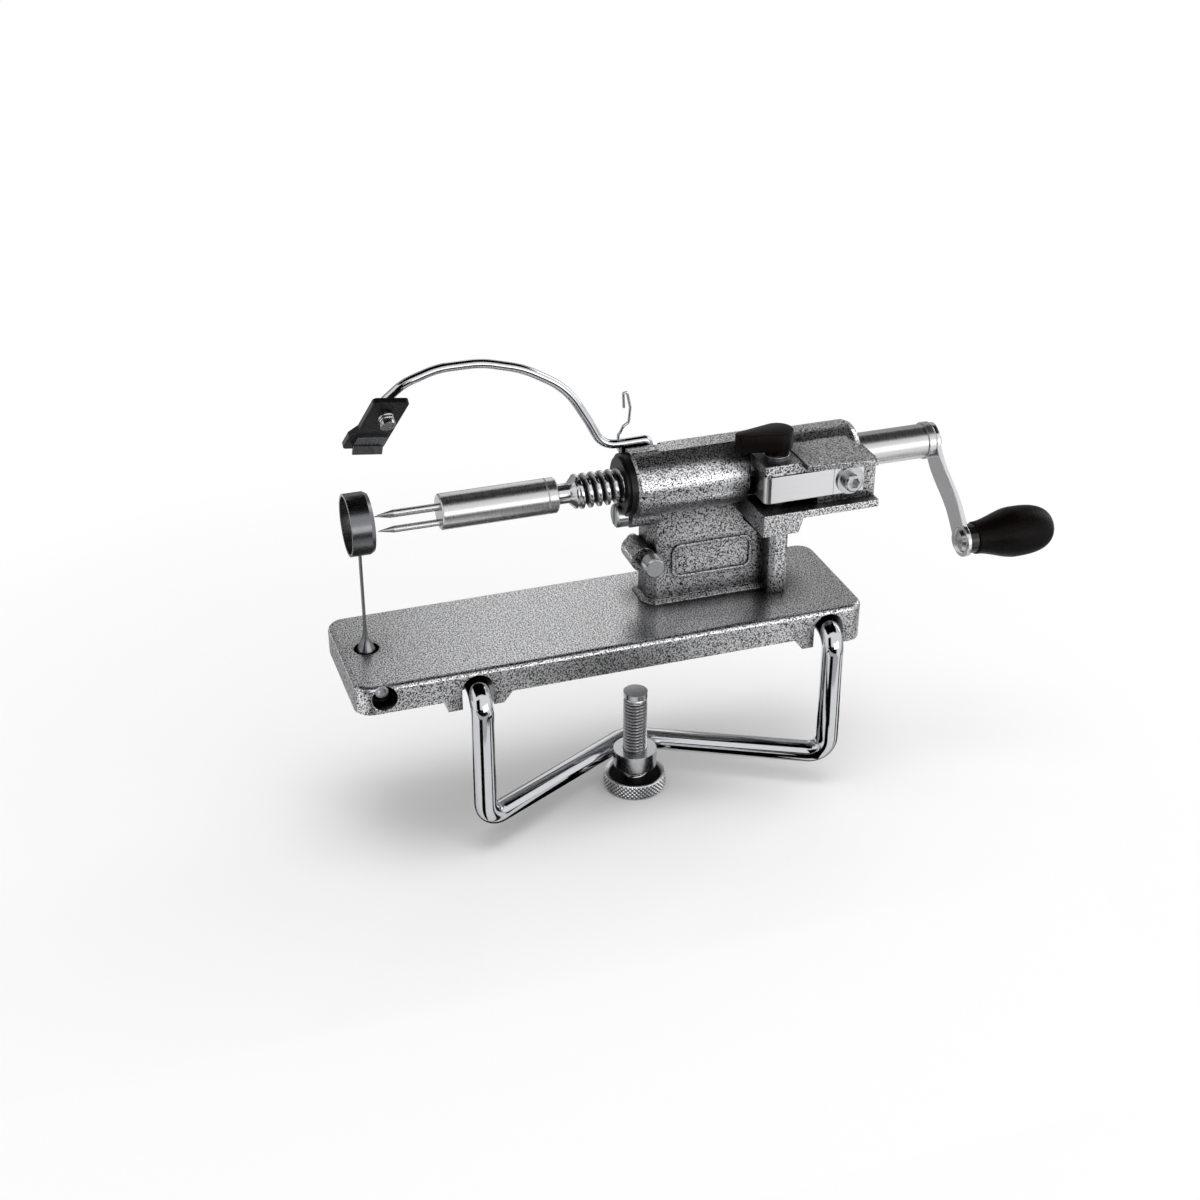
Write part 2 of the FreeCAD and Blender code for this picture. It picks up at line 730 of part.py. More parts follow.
for k, x in enumerate(FIXINGS):
    turned("fixing_%d" % k, "z", x, "fixing_y", "0", [
        ("base_top - 2*base_wall", "0"),
        ("base_top - 2*base_wall", "fixing_head"),
        ("base_top - base_wall", "fixing_head"),
        ("base_top - base_wall", "fixing_radius"),
        ("base_top + fixing_length", "fixing_radius"),
        ("base_top + fixing_length", "0")])
node("housing_screws", join("fixings", doc.getObject("fixing_0"), doc.getObject("fixing_1")))

# Front bush, notched for the screw that holds it
bush_body = turned("bush_body", "x", "0", "0", "spindle_height", [
    ("bush_front", "spindle_radius + fit_gap"),
    ("bush_front", "bush_collar"),
    ("bush_step", "bush_collar"),
    ("bush_step", "bush_radius"),
    ("barrel_left", "bush_radius"),
    ("barrel_left", "sleeve_radius"),
    ("barrel_left + sleeve_length", "sleeve_radius"),
    ("barrel_left + sleeve_length", "spindle_radius + fit_gap")])
head_notch = bar("head_notch", "x", "bush_front - over", "0", "bush_screw_z",
                 "bush_head + fit_gap", "bush_head_back - bush_front + over")
shank_notch = bar("shank_notch", "x", "bush_front", "0", "bush_screw_z",
                  "bush_shank + fit_gap", "barrel_left - bush_front + over")
node("front_bush", cut("bush_cut", bush_body, head_notch, shank_notch))
screw_body = turned("screw_body", "x", "0", "0", "bush_screw_z", [
    ("bush_head_front", "0"),
    ("bush_head_front", "bush_head - screw_edge"),
    ("bush_head_front + screw_edge", "bush_head"),
    ("bush_head_back", "bush_head"),
    ("bush_head_back", "bush_shank"),
    ("pedestal_left + bush_screw_sink", "bush_shank"),
    ("pedestal_left + bush_screw_sink", "0")])
slot_cut = block("slot_cut", "bush_head_front - over", "-screw_slot/2",
                 "bush_screw_z - bush_head - over", "slot_depth + over", "screw_slot",
                 "2*bush_head + 2*over")
node("bush_screw", cut("bush_screw_cut", screw_body, slot_cut))

# Spring anchor pin, pressed through its boss, with a waist behind for the spring's loop
node("anchor_pin", turned("anchor_turn", "y", "anchor_x", "0", "anchor_z", [
    ("-pedestal_front - anchor_out", "0"),
    ("-pedestal_front - anchor_out", "anchor_head - screw_edge"),
    ("-pedestal_front - anchor_out + screw_edge", "anchor_head"),
    ("-pedestal_front - anchor_out + anchor_head_length", "anchor_head"),
    ("-pedestal_front - anchor_neck", "bush_shank + side_gap"),
    ("-pedestal_front", "bush_shank + side_gap"),
    ("-pedestal_front", "bush_shank"),
    ("pedestal_back + anchor_tail", "bush_shank"),
    ("pedestal_back + anchor_tail + screw_edge", "bush_shank - anchor_waist"),
    ("pedestal_back + 2*anchor_tail + screw_edge", "bush_shank - anchor_waist"),
    ("pedestal_back + 2*anchor_tail + 2*screw_edge", "bush_shank"),
    ("pedestal_back + 2*anchor_tail + 4*screw_edge", "bush_shank"),
    ("pedestal_back + 2*anchor_tail + 4*screw_edge", "0")]))

# Spindle: fork, front tube, feed screw with its through shaft, rear tube
node("front_tube", turned("tube_turn", "x", "0", "0", "spindle_height", [
    ("-tube_front", "spindle_radius - tube_wall"),
    ("-tube_front", "spindle_radius - tube_edge"),
    ("-tube_front + tube_edge", "spindle_radius"),
    ("ring_place - ring_groove", "spindle_radius"),
    ("ring_place", "spindle_radius - ring_groove"),
    ("ring_place + ring_groove", "spindle_radius"),
    ("tube_end - tube_edge", "spindle_radius"),
    ("tube_end", "spindle_radius - tube_edge"),
    ("tube_end", "spindle_radius - tube_wall")]))
node("feed_screw", turned("feed_turn", "x", "0", "0", "spindle_height", [
    ("ring_place - shaft_seat", "0"),
    ("ring_place - shaft_seat", "spindle_radius - tube_wall"),
    ("tube_end", "spindle_radius - tube_wall"),
    ("tube_end", "neck_radius"),
    ("neck_end", "neck_radius"),
    ("thread_start", "spindle_radius - thread_depth"),
    ("thread_start + thread_depth", "spindle_radius"),
    ("thread_end", "spindle_radius"),
    ("thread_end", "shaft_radius"),
    ("crank_face", "shaft_radius"),
    ("crank_face", "0")]))
node("rear_tube", turned("rear_turn", "x", "0", "0", "spindle_height", [
    ("thread_end", "shaft_radius + fit_gap"),
    ("thread_end", "spindle_radius"),
    ("hub_start", "spindle_radius"),
    ("hub_start", "shaft_radius + fit_gap")]))
fork_plug = turned("fork_plug", "x", "0", "0", "spindle_height", [
    ("-tube_front", "0"),
    ("-tube_front", "spindle_radius - tube_wall"),
    ("-tube_front + shaft_seat", "spindle_radius - tube_wall"),
    ("-tube_front + shaft_seat", "0")])
prong_shapes = []
for k in range(int(mm("prong_count"))):
    turn = 2 * math.pi * k / mm("prong_count")
    centre = Vector(-mm("tube_front") - mm("prong_length"), mm("prong_circle") * math.cos(turn),
                    mm("spindle_height") + mm("prong_circle") * math.sin(turn))
    shaft_part = Part.makeCylinder(mm("prong_radius"), mm("prong_length"), centre, Vector(1, 0, 0))
    point = centre - Vector(mm("prong_tip"), 0, 0)
    tip = Part.makeCone(mm("prong_point"), mm("prong_radius"), mm("prong_tip"), point,
                        Vector(1, 0, 0))
    prong_shapes.append(shaft_part.fuse(tip))
prongs = shaped("prongs", prong_shapes[0].fuse(prong_shapes[1:]))
node("fork", join("fork_join", fork_plug, prongs))

# Crank: hub, offset strip, rivets, and the pear grip that turns on its pin
node("crank_hub", turned("hub_turn", "x", "0", "0", "spindle_height", [
    ("hub_start", "shaft_radius"),
    ("hub_start", "hub_radius"),
    ("crank_face - screw_edge", "hub_radius"),
    ("crank_face", "hub_radius - screw_edge"),
    ("crank_face", "shaft_radius")]))
near = mm("crank_face")
far = near + mm("crank_sheet")
step = mm("crank_step")
down = mm("crank_radius")
eye_radius = mm("eye_radius")
half = mm("arm_half_width")
over = mm("over")
bend_start = eye_radius + mm("bend_clear")
bend_end = bend_start + mm("bend_run")
reach = down + eye_radius + over
side_view = Part.makePolygon([
    Vector(near, 0, eye_radius + over), Vector(far, 0, eye_radius + over),
    Vector(far, 0, -bend_start), Vector(far + step, 0, -bend_end),
    Vector(far + step, 0, -reach), Vector(near + step, 0, -reach),
    Vector(near + step, 0, -bend_end), Vector(near, 0, -bend_start),
    Vector(near, 0, eye_radius + over)])
side_solid = Part.Face(side_view).extrude(Vector(0, 2 * (eye_radius + over), 0))
side_solid.translate(Vector(0, -eye_radius - over, 0))
deep = far + step - near + 2 * over
front_view = Part.makeBox(deep, 2 * half, down, Vector(near - over, -half, -down))
for drop in (0, down):
    eye_place = Vector(near - over, 0, -drop)
    front_view = front_view.fuse(Part.makeCylinder(eye_radius, deep, eye_place, Vector(1, 0, 0)))
strip = side_solid.common(front_view)
for drop in (0, down):
    eye_place = Vector(near - over, 0, -drop)
    strip = strip.cut(Part.makeCylinder(mm("pin_radius"), deep, eye_place, Vector(1, 0, 0)))
crank_turn = Rotation(Vector(1, 0, 0), -mm("crank_angle"))
crank_place = Placement(Vector(0, 0, mm("spindle_height")), crank_turn)
node("crank_arm", shaped("crank_strip", strip.removeSplitter(), crank_place))
node("crank_rivet", turned("crank_rivet_turn", "x", "0", "0", "spindle_height", [
    ("crank_face", "0"),
    ("crank_face", "pin_radius"),
    ("crank_face + crank_sheet", "pin_radius"),
    ("crank_face + crank_sheet", "pin_radius + dome_brim"),
    ("crank_face + crank_sheet + 0.55*dome_height", "pin_radius + 0.65*dome_brim"),
    ("crank_face + crank_sheet + 0.92*dome_height", "pin_radius - 0.35*dome_brim"),
    ("crank_face + crank_sheet + dome_height", "0")]))
node("handle_pin", turned("handle_pin_turn", "x", "0", "pin_y", "pin_z", [
    ("pin_face - dome_height", "0"),
    ("pin_face - 0.92*dome_height", "pin_radius - 0.35*dome_brim"),
    ("pin_face - 0.55*dome_height", "pin_radius + 0.65*dome_brim"),
    ("pin_face", "pin_radius + dome_brim"),
    ("pin_face", "pin_radius"),
    ("pin_face + crank_sheet", "pin_radius"),
    ("pin_face + crank_sheet", "grip_neck - grip_lip"),
    ("grip_start", "grip_neck - grip_lip"),
    ("grip_start", "pin_radius"),
    ("grip_start + grip_length - pin_short", "pin_radius"),
    ("grip_start + grip_length - pin_short", "0")]))
grip_start = mm("grip_start") + mm("fit_gap")
grip_end = mm("grip_start") + mm("grip_length")
grip_neck = mm("grip_neck")
lip = mm("grip_lip")
PEAR = [(0.22, 0.69), (0.45, 0.93), (0.62, 1.0), (0.84, 0.82), (0.97, 0.4)]
neck_corner = Vector(grip_start, 0, grip_neck - lip)
neck_top = Vector(grip_start + lip, 0, grip_neck)
outline = Part.BSplineCurve()
outline.interpolate([neck_top] + [
    Vector(grip_start + share * mm("grip_length"), 0, width * mm("grip_radius"))
    for share, width in PEAR] + [Vector(grip_end, 0, 0)])
edges = [outline.toShape(),
         Part.LineSegment(Vector(grip_end, 0, 0), Vector(grip_start, 0, 0)).toShape(),
         Part.LineSegment(Vector(grip_start, 0, 0), neck_corner).toShape(),
         Part.LineSegment(neck_corner, neck_top).toShape()]
pear = Part.Face(Part.Wire(Part.__sortEdges__(edges))).revolve(Vector(), Vector(1, 0, 0), 360)
pin_hole = Part.makeCylinder(mm("pin_radius") + mm("fit_gap"),
                             mm("grip_length") - mm("pin_short") + over,
                             Vector(grip_start - mm("fit_gap"), 0, 0), Vector(1, 0, 0))
grip_place = Placement(Vector(0, mm("pin_y"), mm("pin_z")), Rotation())
node("handle_grip", shaped("grip", pear.cut(pin_hole), grip_place))

# Feed leaf: the end under the washer, and the free length with its finger
end_blank = block("end_blank", "leaf_seam", "-leaf_front", "leaf_bottom",
                  "leaf_hold", "leaf_sheet", "leaf_height")
end_hole = bar("end_hole", "y", "leaf_screw_x", "-leaf_front - over", "leaf_middle",
               "bush_shank", "leaf_sheet + 2*over")
node("leaf_end", cut("leaf_end_cut", end_blank, end_hole))
finger_leaf = padded("finger_leaf", "XY", "leaf_bottom", "leaf_height", [
    ("leaf_left", "-leaf_front"),
    ("leaf_seam", "-leaf_front"),
    ("leaf_seam", "-leaf_back"),
    ("leaf_left + leaf_sheet", "-leaf_back"),
    ("leaf_left + leaf_sheet", "-spindle_radius - finger_gap"),
    ("leaf_left", "-spindle_radius - finger_gap")])
finger_bend = soften("finger_bend", finger_leaf, mm("leaf_bend"), leaf_corner(0))
node("feed_finger", soften("finger_inside", finger_bend, mm("leaf_bend") - mm("leaf_sheet"),
                           leaf_corner(mm("leaf_sheet"))))
node("leaf_washer", turned("leaf_washer_turn", "y", "leaf_screw_x", "0", "leaf_middle", [
    ("-washer_front", "bush_shank"),
    ("-washer_front", "washer_radius"),
    ("-leaf_front", "washer_radius"),
    ("-leaf_front", "bush_shank")]))
leaf_screw_body = turned("leaf_screw_body", "y", "leaf_screw_x", "0", "leaf_middle", [
    ("-washer_front - leaf_head_length", "0"),
    ("-washer_front - leaf_head_length", "leaf_head - screw_edge"),
    ("-washer_front - leaf_head_length + screw_edge", "leaf_head"),
    ("-washer_front", "leaf_head"),
    ("-washer_front", "bush_shank"),
    ("-leaf_back + leaf_screw_sink", "bush_shank"),
    ("-leaf_back + leaf_screw_sink", "0")])
key_hole = doc.addObject("Part::Prism", "key_hole")
key_hole.Polygon = 6
key_hole.setExpression("Circumradius", link("leaf_head*0.62"))
key_hole.setExpression("Height", link("key_depth + over"))
key_hole.Placement.Rotation = TURNS["y"]
place(key_hole, "leaf_screw_x", "-washer_front - leaf_head_length - over", "leaf_middle")
node("leaf_screw", cut("leaf_screw_cut", leaf_screw_body, key_hole))

# Release cam: upright shaft with a nose behind the leaf, and its knob
shaft = bar("cam_bar", "z", "cam_x", "-cam_y", "boss_under + cam_foot",
            "cam_radius", "knob_base + knob_stem - boss_under - cam_foot")
nose_web = block("nose_web", "cam_x", "-cam_y - nose_radius", "leaf_bottom + nose_inset",
                 "cam_nose", "2*nose_radius", "leaf_height - 2*nose_inset")
nose_tip = bar("nose_tip", "z", "cam_x + cam_nose", "-cam_y", "leaf_bottom + nose_inset",
               "nose_radius", "leaf_height - 2*nose_inset")
node("cam_shaft", join("cam_join", shaft, nose_web, nose_tip))
node("cam_washer", turned("cam_washer_turn", "z", "cam_x", "-cam_y", "0", [
    ("roof_top", "cam_radius + fit_gap"),
    ("roof_top", "cam_washer"),
    ("roof_top + cam_washer_sheet", "cam_washer"),
    ("roof_top + cam_washer_sheet", "cam_radius + fit_gap")]))


def oval(x, half_width, half_height, middle):
    """An upright oval section of the knob."""
    ring = [Vector(x, half_width * math.cos(math.pi * k / 4),
                   middle + half_height * math.sin(math.pi * k / 4)) for k in range(8)]
    curve = Part.BSplineCurve()
    curve.interpolate(Points=ring, PeriodicFlag=True)
    return Part.Wire(curve.toShape())


tip = mm("knob_tip")
back = mm("knob_back")
wide = mm("knob_width")
tall = mm("knob_half_height")
middle = mm("knob_middle")
knob = Part.makeLoft([
    oval(-tip, wide * 0.42, tall * 0.55, middle - 1.1),
    oval(-tip * 0.96, wide * 0.52, tall * 0.66, middle - 1.1),
    oval(-tip * 0.45, wide * 0.84, tall * 0.86, middle - 0.5),
    oval(0, wide, tall, middle),
    oval(back * 0.72, wide * 0.78, tall * 0.78, middle - 0.9),
    oval(back, wide * 0.45, tall * 0.45, middle - 1.4)], True, False)
stem = Part.makeCylinder(mm("cam_radius") + mm("stem_wall"), middle - mm("stem_wall"))
knob_seat = Part.makeCylinder(mm("cam_radius"), mm("knob_stem") + mm("fit_gap") + over,
                              Vector(0, 0, -over))
knob_place = Placement(Vector(mm("cam_x"), -mm("cam_y"), mm("knob_base")), Rotation())
node("cam_knob", shaped("knob", knob.fuse(stem).cut(knob_seat).removeSplitter(), knob_place))

# Peeling arm: a bowed rod whose tail turns into the lug
side_gap = mm("side_gap")
arm_y = mm("arm_y")
arm_wire = mm("arm_wire")
reach = mm("arm_reach")
pivot = Vector(mm("pivot_x"), arm_y, mm("pivot_z"))
tip_point = pivot + Vector(-reach, 0, mm("tip_rise"))
lean_turn = Rotation(Vector(1, 0, 0), mm("holder_lean"))
plate_normal = lean_turn.multVec(Vector(0, 1, 0))
BOW = [(0.925, 0.9), (0.801, 0.993), (0.642, 0.995), (0.488, 0.896), (0.325, 0.671),
       (0.238, 0.324)]
BENDS = [1.5, 7, 17, 20, 23, 19, 14, 5, 7, 1.15]
bow_points = [pivot + Vector(-along * reach, 0, up * mm("bow_rise")) for along, up in BOW]
tail = mm("tail_rise")
arm_points = [
    tip_point - plate_normal * mm("arm_end"),
    tip_point + plate_normal * mm("arm_turn"),
    *bow_points,
    pivot + Vector(-0.185 * reach, 0, 1.03 * tail),
    pivot + Vector(-0.104 * reach, 0, tail),
    pivot + Vector(-0.4 * arm_wire, 0, 1.05 * tail),
    pivot - Vector(0, 0, 0.1 * arm_wire)]
arm_path = rod_path(arm_points, [bend * arm_wire for bend in BENDS])
arm_rod = round_rod(arm_path, arm_wire)
arm_eye = Part.makeCylinder(mm("arm_eye"), mm("arm_eye_width"),
                            pivot - Vector(0, mm("arm_eye_width") / 2, 0), Vector(0, 1, 0))
arm_hole = Part.makeCylinder(mm("arm_pin") + mm("fit_gap"), 2 * mm("arm_eye_width"),
                             pivot - Vector(0, mm("arm_eye_width"), 0), Vector(0, 1, 0))
node("peel_arm", shaped("arm", arm_rod.fuse(arm_eye).cut(arm_hole)))
node("arm_pin", bar("arm_pin_bar", "y", "pivot_x", "-lug_front", "pivot_z", "arm_pin",
                    "lug_front + lug_back"))

# Blade holder: a leaning plate that swivels on the arm's turned end
holder_frame = Placement(tip_point, lean_turn)
behind = -mm("holder_sheet") / 2
high_edge = mm("holder_above")
low_edge = -mm("holder_below")
half_plate = mm("holder_width") / 2
foot_side = half_plate + mm("holder_step")
foot_top = low_edge + mm("holder_foot")
plate_view = Part.makePolygon([
    Vector(-half_plate, behind, high_edge), Vector(half_plate, behind, high_edge),
    Vector(half_plate, behind, low_edge), Vector(-foot_side, behind, low_edge),
    Vector(-foot_side, behind, foot_top),
    Vector(-half_plate, behind, foot_top + 2 * mm("holder_step")),
    Vector(-half_plate, behind, high_edge)])
plate = Part.Face(plate_view).extrude(Vector(0, mm("holder_sheet"), 0))
plate = plate.makeFillet(mm("holder_corner"), [
    e for e in plate.Edges
    if abs(e.Vertexes[0].Point.y - e.Vertexes[1].Point.y) > mm("holder_sheet") / 2])
plate = plate.cut(Part.makeCylinder(arm_wire + mm("fit_gap"), 4 * mm("holder_sheet"),
                                    Vector(0, -2 * mm("holder_sheet"), 0), Vector(0, 1, 0)))
window_low = low_edge + mm("window_height")
plate = plate.cut(Part.makeBox(2 * half_plate - 3 * over, 4 * mm("holder_sheet"),
                               mm("window_height"),
                               Vector(-half_plate + over, -2 * mm("holder_sheet"), window_low)))
holder_tilt = Placement(Vector(), Rotation(Vector(0, 1, 0), mm("holder_tilt")))
holder_place = holder_frame.multiply(holder_tilt)
node("blade_holder", shaped("holder", plate, holder_place))
strip_front = behind - mm("peel_sheet")
strip_side = -half_plate + over
edge_out = behind - mm("peel_out")
blade_view = Part.makePolygon([
    Vector(strip_side, behind, foot_top), Vector(strip_side, behind, window_low),
    Vector(strip_side, edge_out + mm("peel_sheet"), low_edge),
    Vector(strip_side, edge_out, low_edge + mm("peel_sheet") / 3),
    Vector(strip_side, strip_front, window_low + mm("peel_sheet") / 2),
    Vector(strip_side, strip_front, foot_top), Vector(strip_side, behind, foot_top)])
blade_strip = Part.Face(blade_view).extrude(Vector(2 * (half_plate - over), 0, 0))
node("peel_blade", shaped("peel_edge", blade_strip, holder_place))
cap = Part.makeCylinder(arm_wire + mm("cap_rim"), mm("cap_length"),
                        Vector(0, -mm("cap_length") - mm("cap_seat"), 0), Vector(0, 1, 0))
arm_point = Part.makeCylinder(arm_wire, mm("arm_end"), Vector(0, -mm("arm_end"), 0),
                              Vector(0, 1, 0))
node("holder_cap", shaped("cap", cap.cut(arm_point), Placement(tip_point, lean_turn)))


def tangent_arc(first, corner, last):
    """The arc that leaves first towards corner and reaches last from it."""
    back = first - corner
    setback = back.Length
    half = back.getAngle(last - corner) / 2
    inward = (back.normalize() + (last - corner).normalize()).normalize()
    bend = setback * math.tan(half)
    middle = corner + inward * (bend / math.sin(half) - bend)
    return Part.Arc(first, middle, last).toShape()


def coil_edges(foot, radius, pitch, turns):
    """A climbing coil as two tangent arcs in every quarter turn, and its end directions."""
    rise = pitch / (2 * math.pi)
    edges = []
    for k in range(int(round(4 * turns))):
        ends = []
        for angle in (k * math.pi / 2, (k + 1) * math.pi / 2):
            spoke = Vector(math.cos(angle), math.sin(angle), 0)
            along = Vector(-radius * spoke.y, radius * spoke.x, rise).normalize()
            ends.append((foot + spoke * radius + Vector(0, 0, rise * angle), along))
        (first, leave), (last, arrive) = ends
        gap = last - first
        both = gap.dot(leave + arrive)
        spread = 2 * (1 - leave.dot(arrive))
        reach = (math.sqrt(both * both + spread * gap.dot(gap)) - both) / spread
        joint = (first + leave * reach + last - arrive * reach) * 0.5
        edges.append(tangent_arc(first, first + leave * reach, joint))
        edges.append(tangent_arc(joint, last - arrive * reach, last))
    return edges, leave_direction(radius, rise), foot + Vector(radius, 0, pitch * turns)


def leave_direction(radius, rise):
    return Vector(0, radius, rise).normalize()


coil_seat = Placement(Vector(0, behind - mm("coil_wire") - side_gap, 0),
                      Rotation(Vector(0, 0, 1), Vector(0, -1, 0)))
coil_path = Part.Wire(coil_edges(Vector(), mm("coil_radius"), mm("coil_pitch"),
                                 mm("coil_turns"))[0])
node("holder_spring", shaped("holder_coil", round_rod(coil_path, mm("coil_wire")),
                             holder_place.multiply(coil_seat)))

# Return spring: anchor loop, coil behind the pedestal, then a wire that hooks the arm
touch = 2 * mm("fit_gap")
wire = mm("spring_wire")
pitch = mm("spring_pitch")
spring_foot = Vector(mm("barrel_left") + mm("spring_inset"), mm("spring_y"),
                     mm("anchor_z") + mm("spring_gap"))
room = mm("spindle_height") - mm("spring_drop") - spring_foot.z
turns_edges, coil_way, coil_high = coil_edges(spring_foot, mm("spring_radius"), pitch,
                                              int(room / pitch))
print("least gap between turns of the return spring, mm:", round(pitch - 2 * wire, 2))
waist_y = mm("pedestal_back") + 1.5 * mm("anchor_tail") + mm("screw_edge")
pin_top = Vector(mm("anchor_x"), waist_y, mm("anchor_z"))
loop = mm("bush_shank") - mm("anchor_waist") + wire + touch
coil_low = spring_foot + Vector(mm("spring_radius"), 0, 0)
lower_lead = rod_path([
    pin_top + Vector(-loop, 0, 2), pin_top + Vector(-loop, 0, -loop),
    pin_top + Vector(loop, 0, -loop), pin_top + Vector(loop, 0, 2),
    coil_low - coil_way * 2.2 + Vector(0, 0, -3.2), coil_low - coil_way * 2.2,
    coil_low], [1.2, 1.2, 1.2, 1.2, 1.2])
hook_x = mm("barrel_left") - mm("hook_inset")
rod_z = mm("pivot_z") + mm("tail_rise")
beside = arm_y + arm_wire + wire + touch
clear = mm("barrel_radius") + 3 * wire
upper_lead = rod_path([
    coil_high, coil_high + coil_way * 2.2,
    Vector(coil_high.x, clear + 2, mm("spindle_height") - 4),
    Vector(hook_x + 4.4, clear + 1.2, mm("spindle_height") + 5),
    Vector(hook_x + 0.4, beside + 2.6, rod_z - 3.6),
    Vector(hook_x, beside, rod_z),
    Vector(hook_x, beside, rod_z + 2.6),
    Vector(hook_x, arm_y, rod_z + 4.6),
    Vector(hook_x + 1.2, arm_y, rod_z + 7),
    Vector(hook_x + 3.4, arm_y, rod_z + 8.4),
    Vector(hook_x + 4, arm_y, rod_z + 14.6),
    Vector(hook_x + 2.7, arm_y, rod_z + 21),
    Vector(hook_x + 1.1, arm_y, rod_z + 20.8),
    Vector(hook_x + 1.4, arm_y, rod_z + 14.8)],
    [1.2, 1.2, 3, 2, 1.2, 0.9, 0.9, 1.2, 1.2, 3, 0.7, 0.7])
spring_path = Part.Wire(lower_lead.OrderedEdges + turns_edges + upper_lead.OrderedEdges)
node("arm_spring", shaped("spring", round_rod(spring_path, wire)))

# Slicing blade on its tapered shank, and the corer ring it carries
shank = Part.makeCylinder(mm("blade_hole") - mm("fit_gap"), mm("base_top") - mm("blade_foot"),
                          Vector(0, 0, mm("blade_foot")))
thin = mm("blade_sheet") / 2
deep = mm("blade_width") / 2


def oblong(half_x, half_y, height):
    """A level rectangle about the blade's axis."""
    corners = [Vector(-half_x, -half_y, height), Vector(half_x, -half_y, height),
               Vector(half_x, half_y, height), Vector(-half_x, half_y, height)]
    return Part.makePolygon(corners + corners[:1])


blade_low = mm("base_top") + mm("blade_taper")
taper = Part.makeLoft([oblong(mm("shank_half"), mm("shank_deep"), mm("base_top")),
                       oblong(thin, deep, blade_low)], True, True)
bevel = -deep + mm("edge_bevel")
edge_face = Part.makePolygon([Vector(-thin, deep, 0), Vector(thin, deep, 0),
                              Vector(thin, bevel, 0), Vector(0, -deep, 0),
                              Vector(-thin, bevel, 0), Vector(-thin, deep, 0)])
edge_face.translate(Vector(0, 0, blade_low - side_gap))
leaf = Part.Face(edge_face).extrude(Vector(0, 0, mm("spindle_height") - blade_low + side_gap))
ring_hole = Part.makeCylinder(mm("ring_inner") + mm("ring_wall"), 4 * mm("ring_length"),
                              Vector(-2 * mm("ring_length"), 0, mm("spindle_height")),
                              Vector(1, 0, 0))
slicer = shank.fuse([taper, leaf]).cut(ring_hole)
blade_at = Placement(Vector(-mm("blade_x"), 0, 0), Rotation())
node("slicing_blade", shaped("slicer", slicer, blade_at))
node("corer_ring", turned("ring_turn", "x", "-blade_x", "0", "spindle_height", [
    ("-ring_length/2", "ring_inner"),
    ("-ring_length/2", "ring_inner + ring_wall"),
    ("ring_length/2 - ring_bevel", "ring_inner + ring_wall"),
    ("ring_length/2", "ring_inner + ring_edge"),
    ("ring_length/2", "ring_inner")]))
set_body = turned("set_body", "y", "-blade_x", "0", "set_height", [
    ("-base_front + set_inset", "0"),
    ("-base_front + set_inset", "set_head"),
    ("-base_front + set_inset + set_head_length", "set_head"),
    ("-base_front + set_inset + set_head_length", "pin_radius"),
    ("-blade_hole", "pin_radius"),
    ("-blade_hole", "0")])
set_key = doc.addObject("Part::Prism", "set_key")
set_key.Polygon = 6
set_key.setExpression("Circumradius", link("set_hole*0.5"))
set_key.setExpression("Height", link("key_depth + over"))
set_key.Placement.Rotation = TURNS["y"]
place(set_key, "-blade_x", "-base_front + set_inset - over", "set_height")
node("blade_set_screw", cut("set_cut", set_body, set_key))

# Table clamp: one bent rod, the welded boss, the screw and its swivel pad
back_end = mm("base_back") - mm("base_wall") - mm("rod_short")
front = -mm("leg_front")
under = -mm("span_height")
right = mm("leg_x")
rod_z = mm("rod_height")
clamp_points = [
    Vector(0, back_end, rod_z), Vector(0, front, rod_z), Vector(0, front, under),
    Vector(right / 2 - mm("apex_shift"), mm("apex_y"), under), Vector(right, front, under),
    Vector(right, front, rod_z), Vector(right, back_end, rod_z)]
clamp_bends = [mm("leg_bend"), mm("leg_bend"), mm("apex_bend"), mm("leg_bend"), mm("leg_bend")]
bracket = shaped("bracket", round_rod(rod_path(clamp_points, clamp_bends), mm("rod_radius")))
node("clamp_bracket", bracket)
boss_blank = bar("boss_blank", "z", "boss_x", "-boss_y", "-boss_top - boss_height",
                 "boss_radius", "boss_height")
boss_bore = bar("boss_bore", "z", "boss_x", "-boss_y", "-boss_top - boss_height - over",
                "stud_radius + fit_gap", "boss_height + 2*over")
node("clamp_boss", cut("boss_cut", boss_blank, bracket, boss_bore))
node("clamp_screw", turned("stud_turn", "z", "boss_x", "-boss_y", "0", [
    ("-wheel_top - wheel_height + wheel_edge", "0"),
    ("-wheel_top - wheel_height + wheel_edge", "stud_radius"),
    ("-pad_top - pad_thick - wheel_edge", "stud_radius"),
    ("-pad_top - pad_thick", "stud_radius - wheel_edge"),
    ("-pad_top - pad_thick", "0")]))
node("clamp_wheel", turned("wheel_turn", "z", "boss_x", "-boss_y", "0", [
    ("-wheel_top - wheel_height", "0"),
    ("-wheel_top - wheel_height", "wheel_radius - wheel_edge"),
    ("-wheel_top - wheel_height + wheel_edge", "wheel_radius"),
    ("-wheel_top - wheel_edge", "wheel_radius"),
    ("-wheel_top", "wheel_radius - wheel_edge"),
    ("-wheel_top - dish_depth", "wheel_radius - dish_rim"),
    ("-wheel_top - dish_depth", "stud_radius"),
    ("-wheel_top - wheel_height + wheel_edge", "stud_radius"),
    ("-wheel_top - wheel_height + wheel_edge", "0")]))
node("clamp_pad", turned("pad_turn", "z", "boss_x", "-boss_y", "0", [
    ("-pad_top - pad_thick", "0"),
    ("-pad_top - pad_thick", "stud_radius - wheel_edge"),
    ("-pad_top - pad_thick + screw_edge", "stud_radius"),
    ("-pad_top", "stud_radius"),
    ("-pad_top", "0")]))

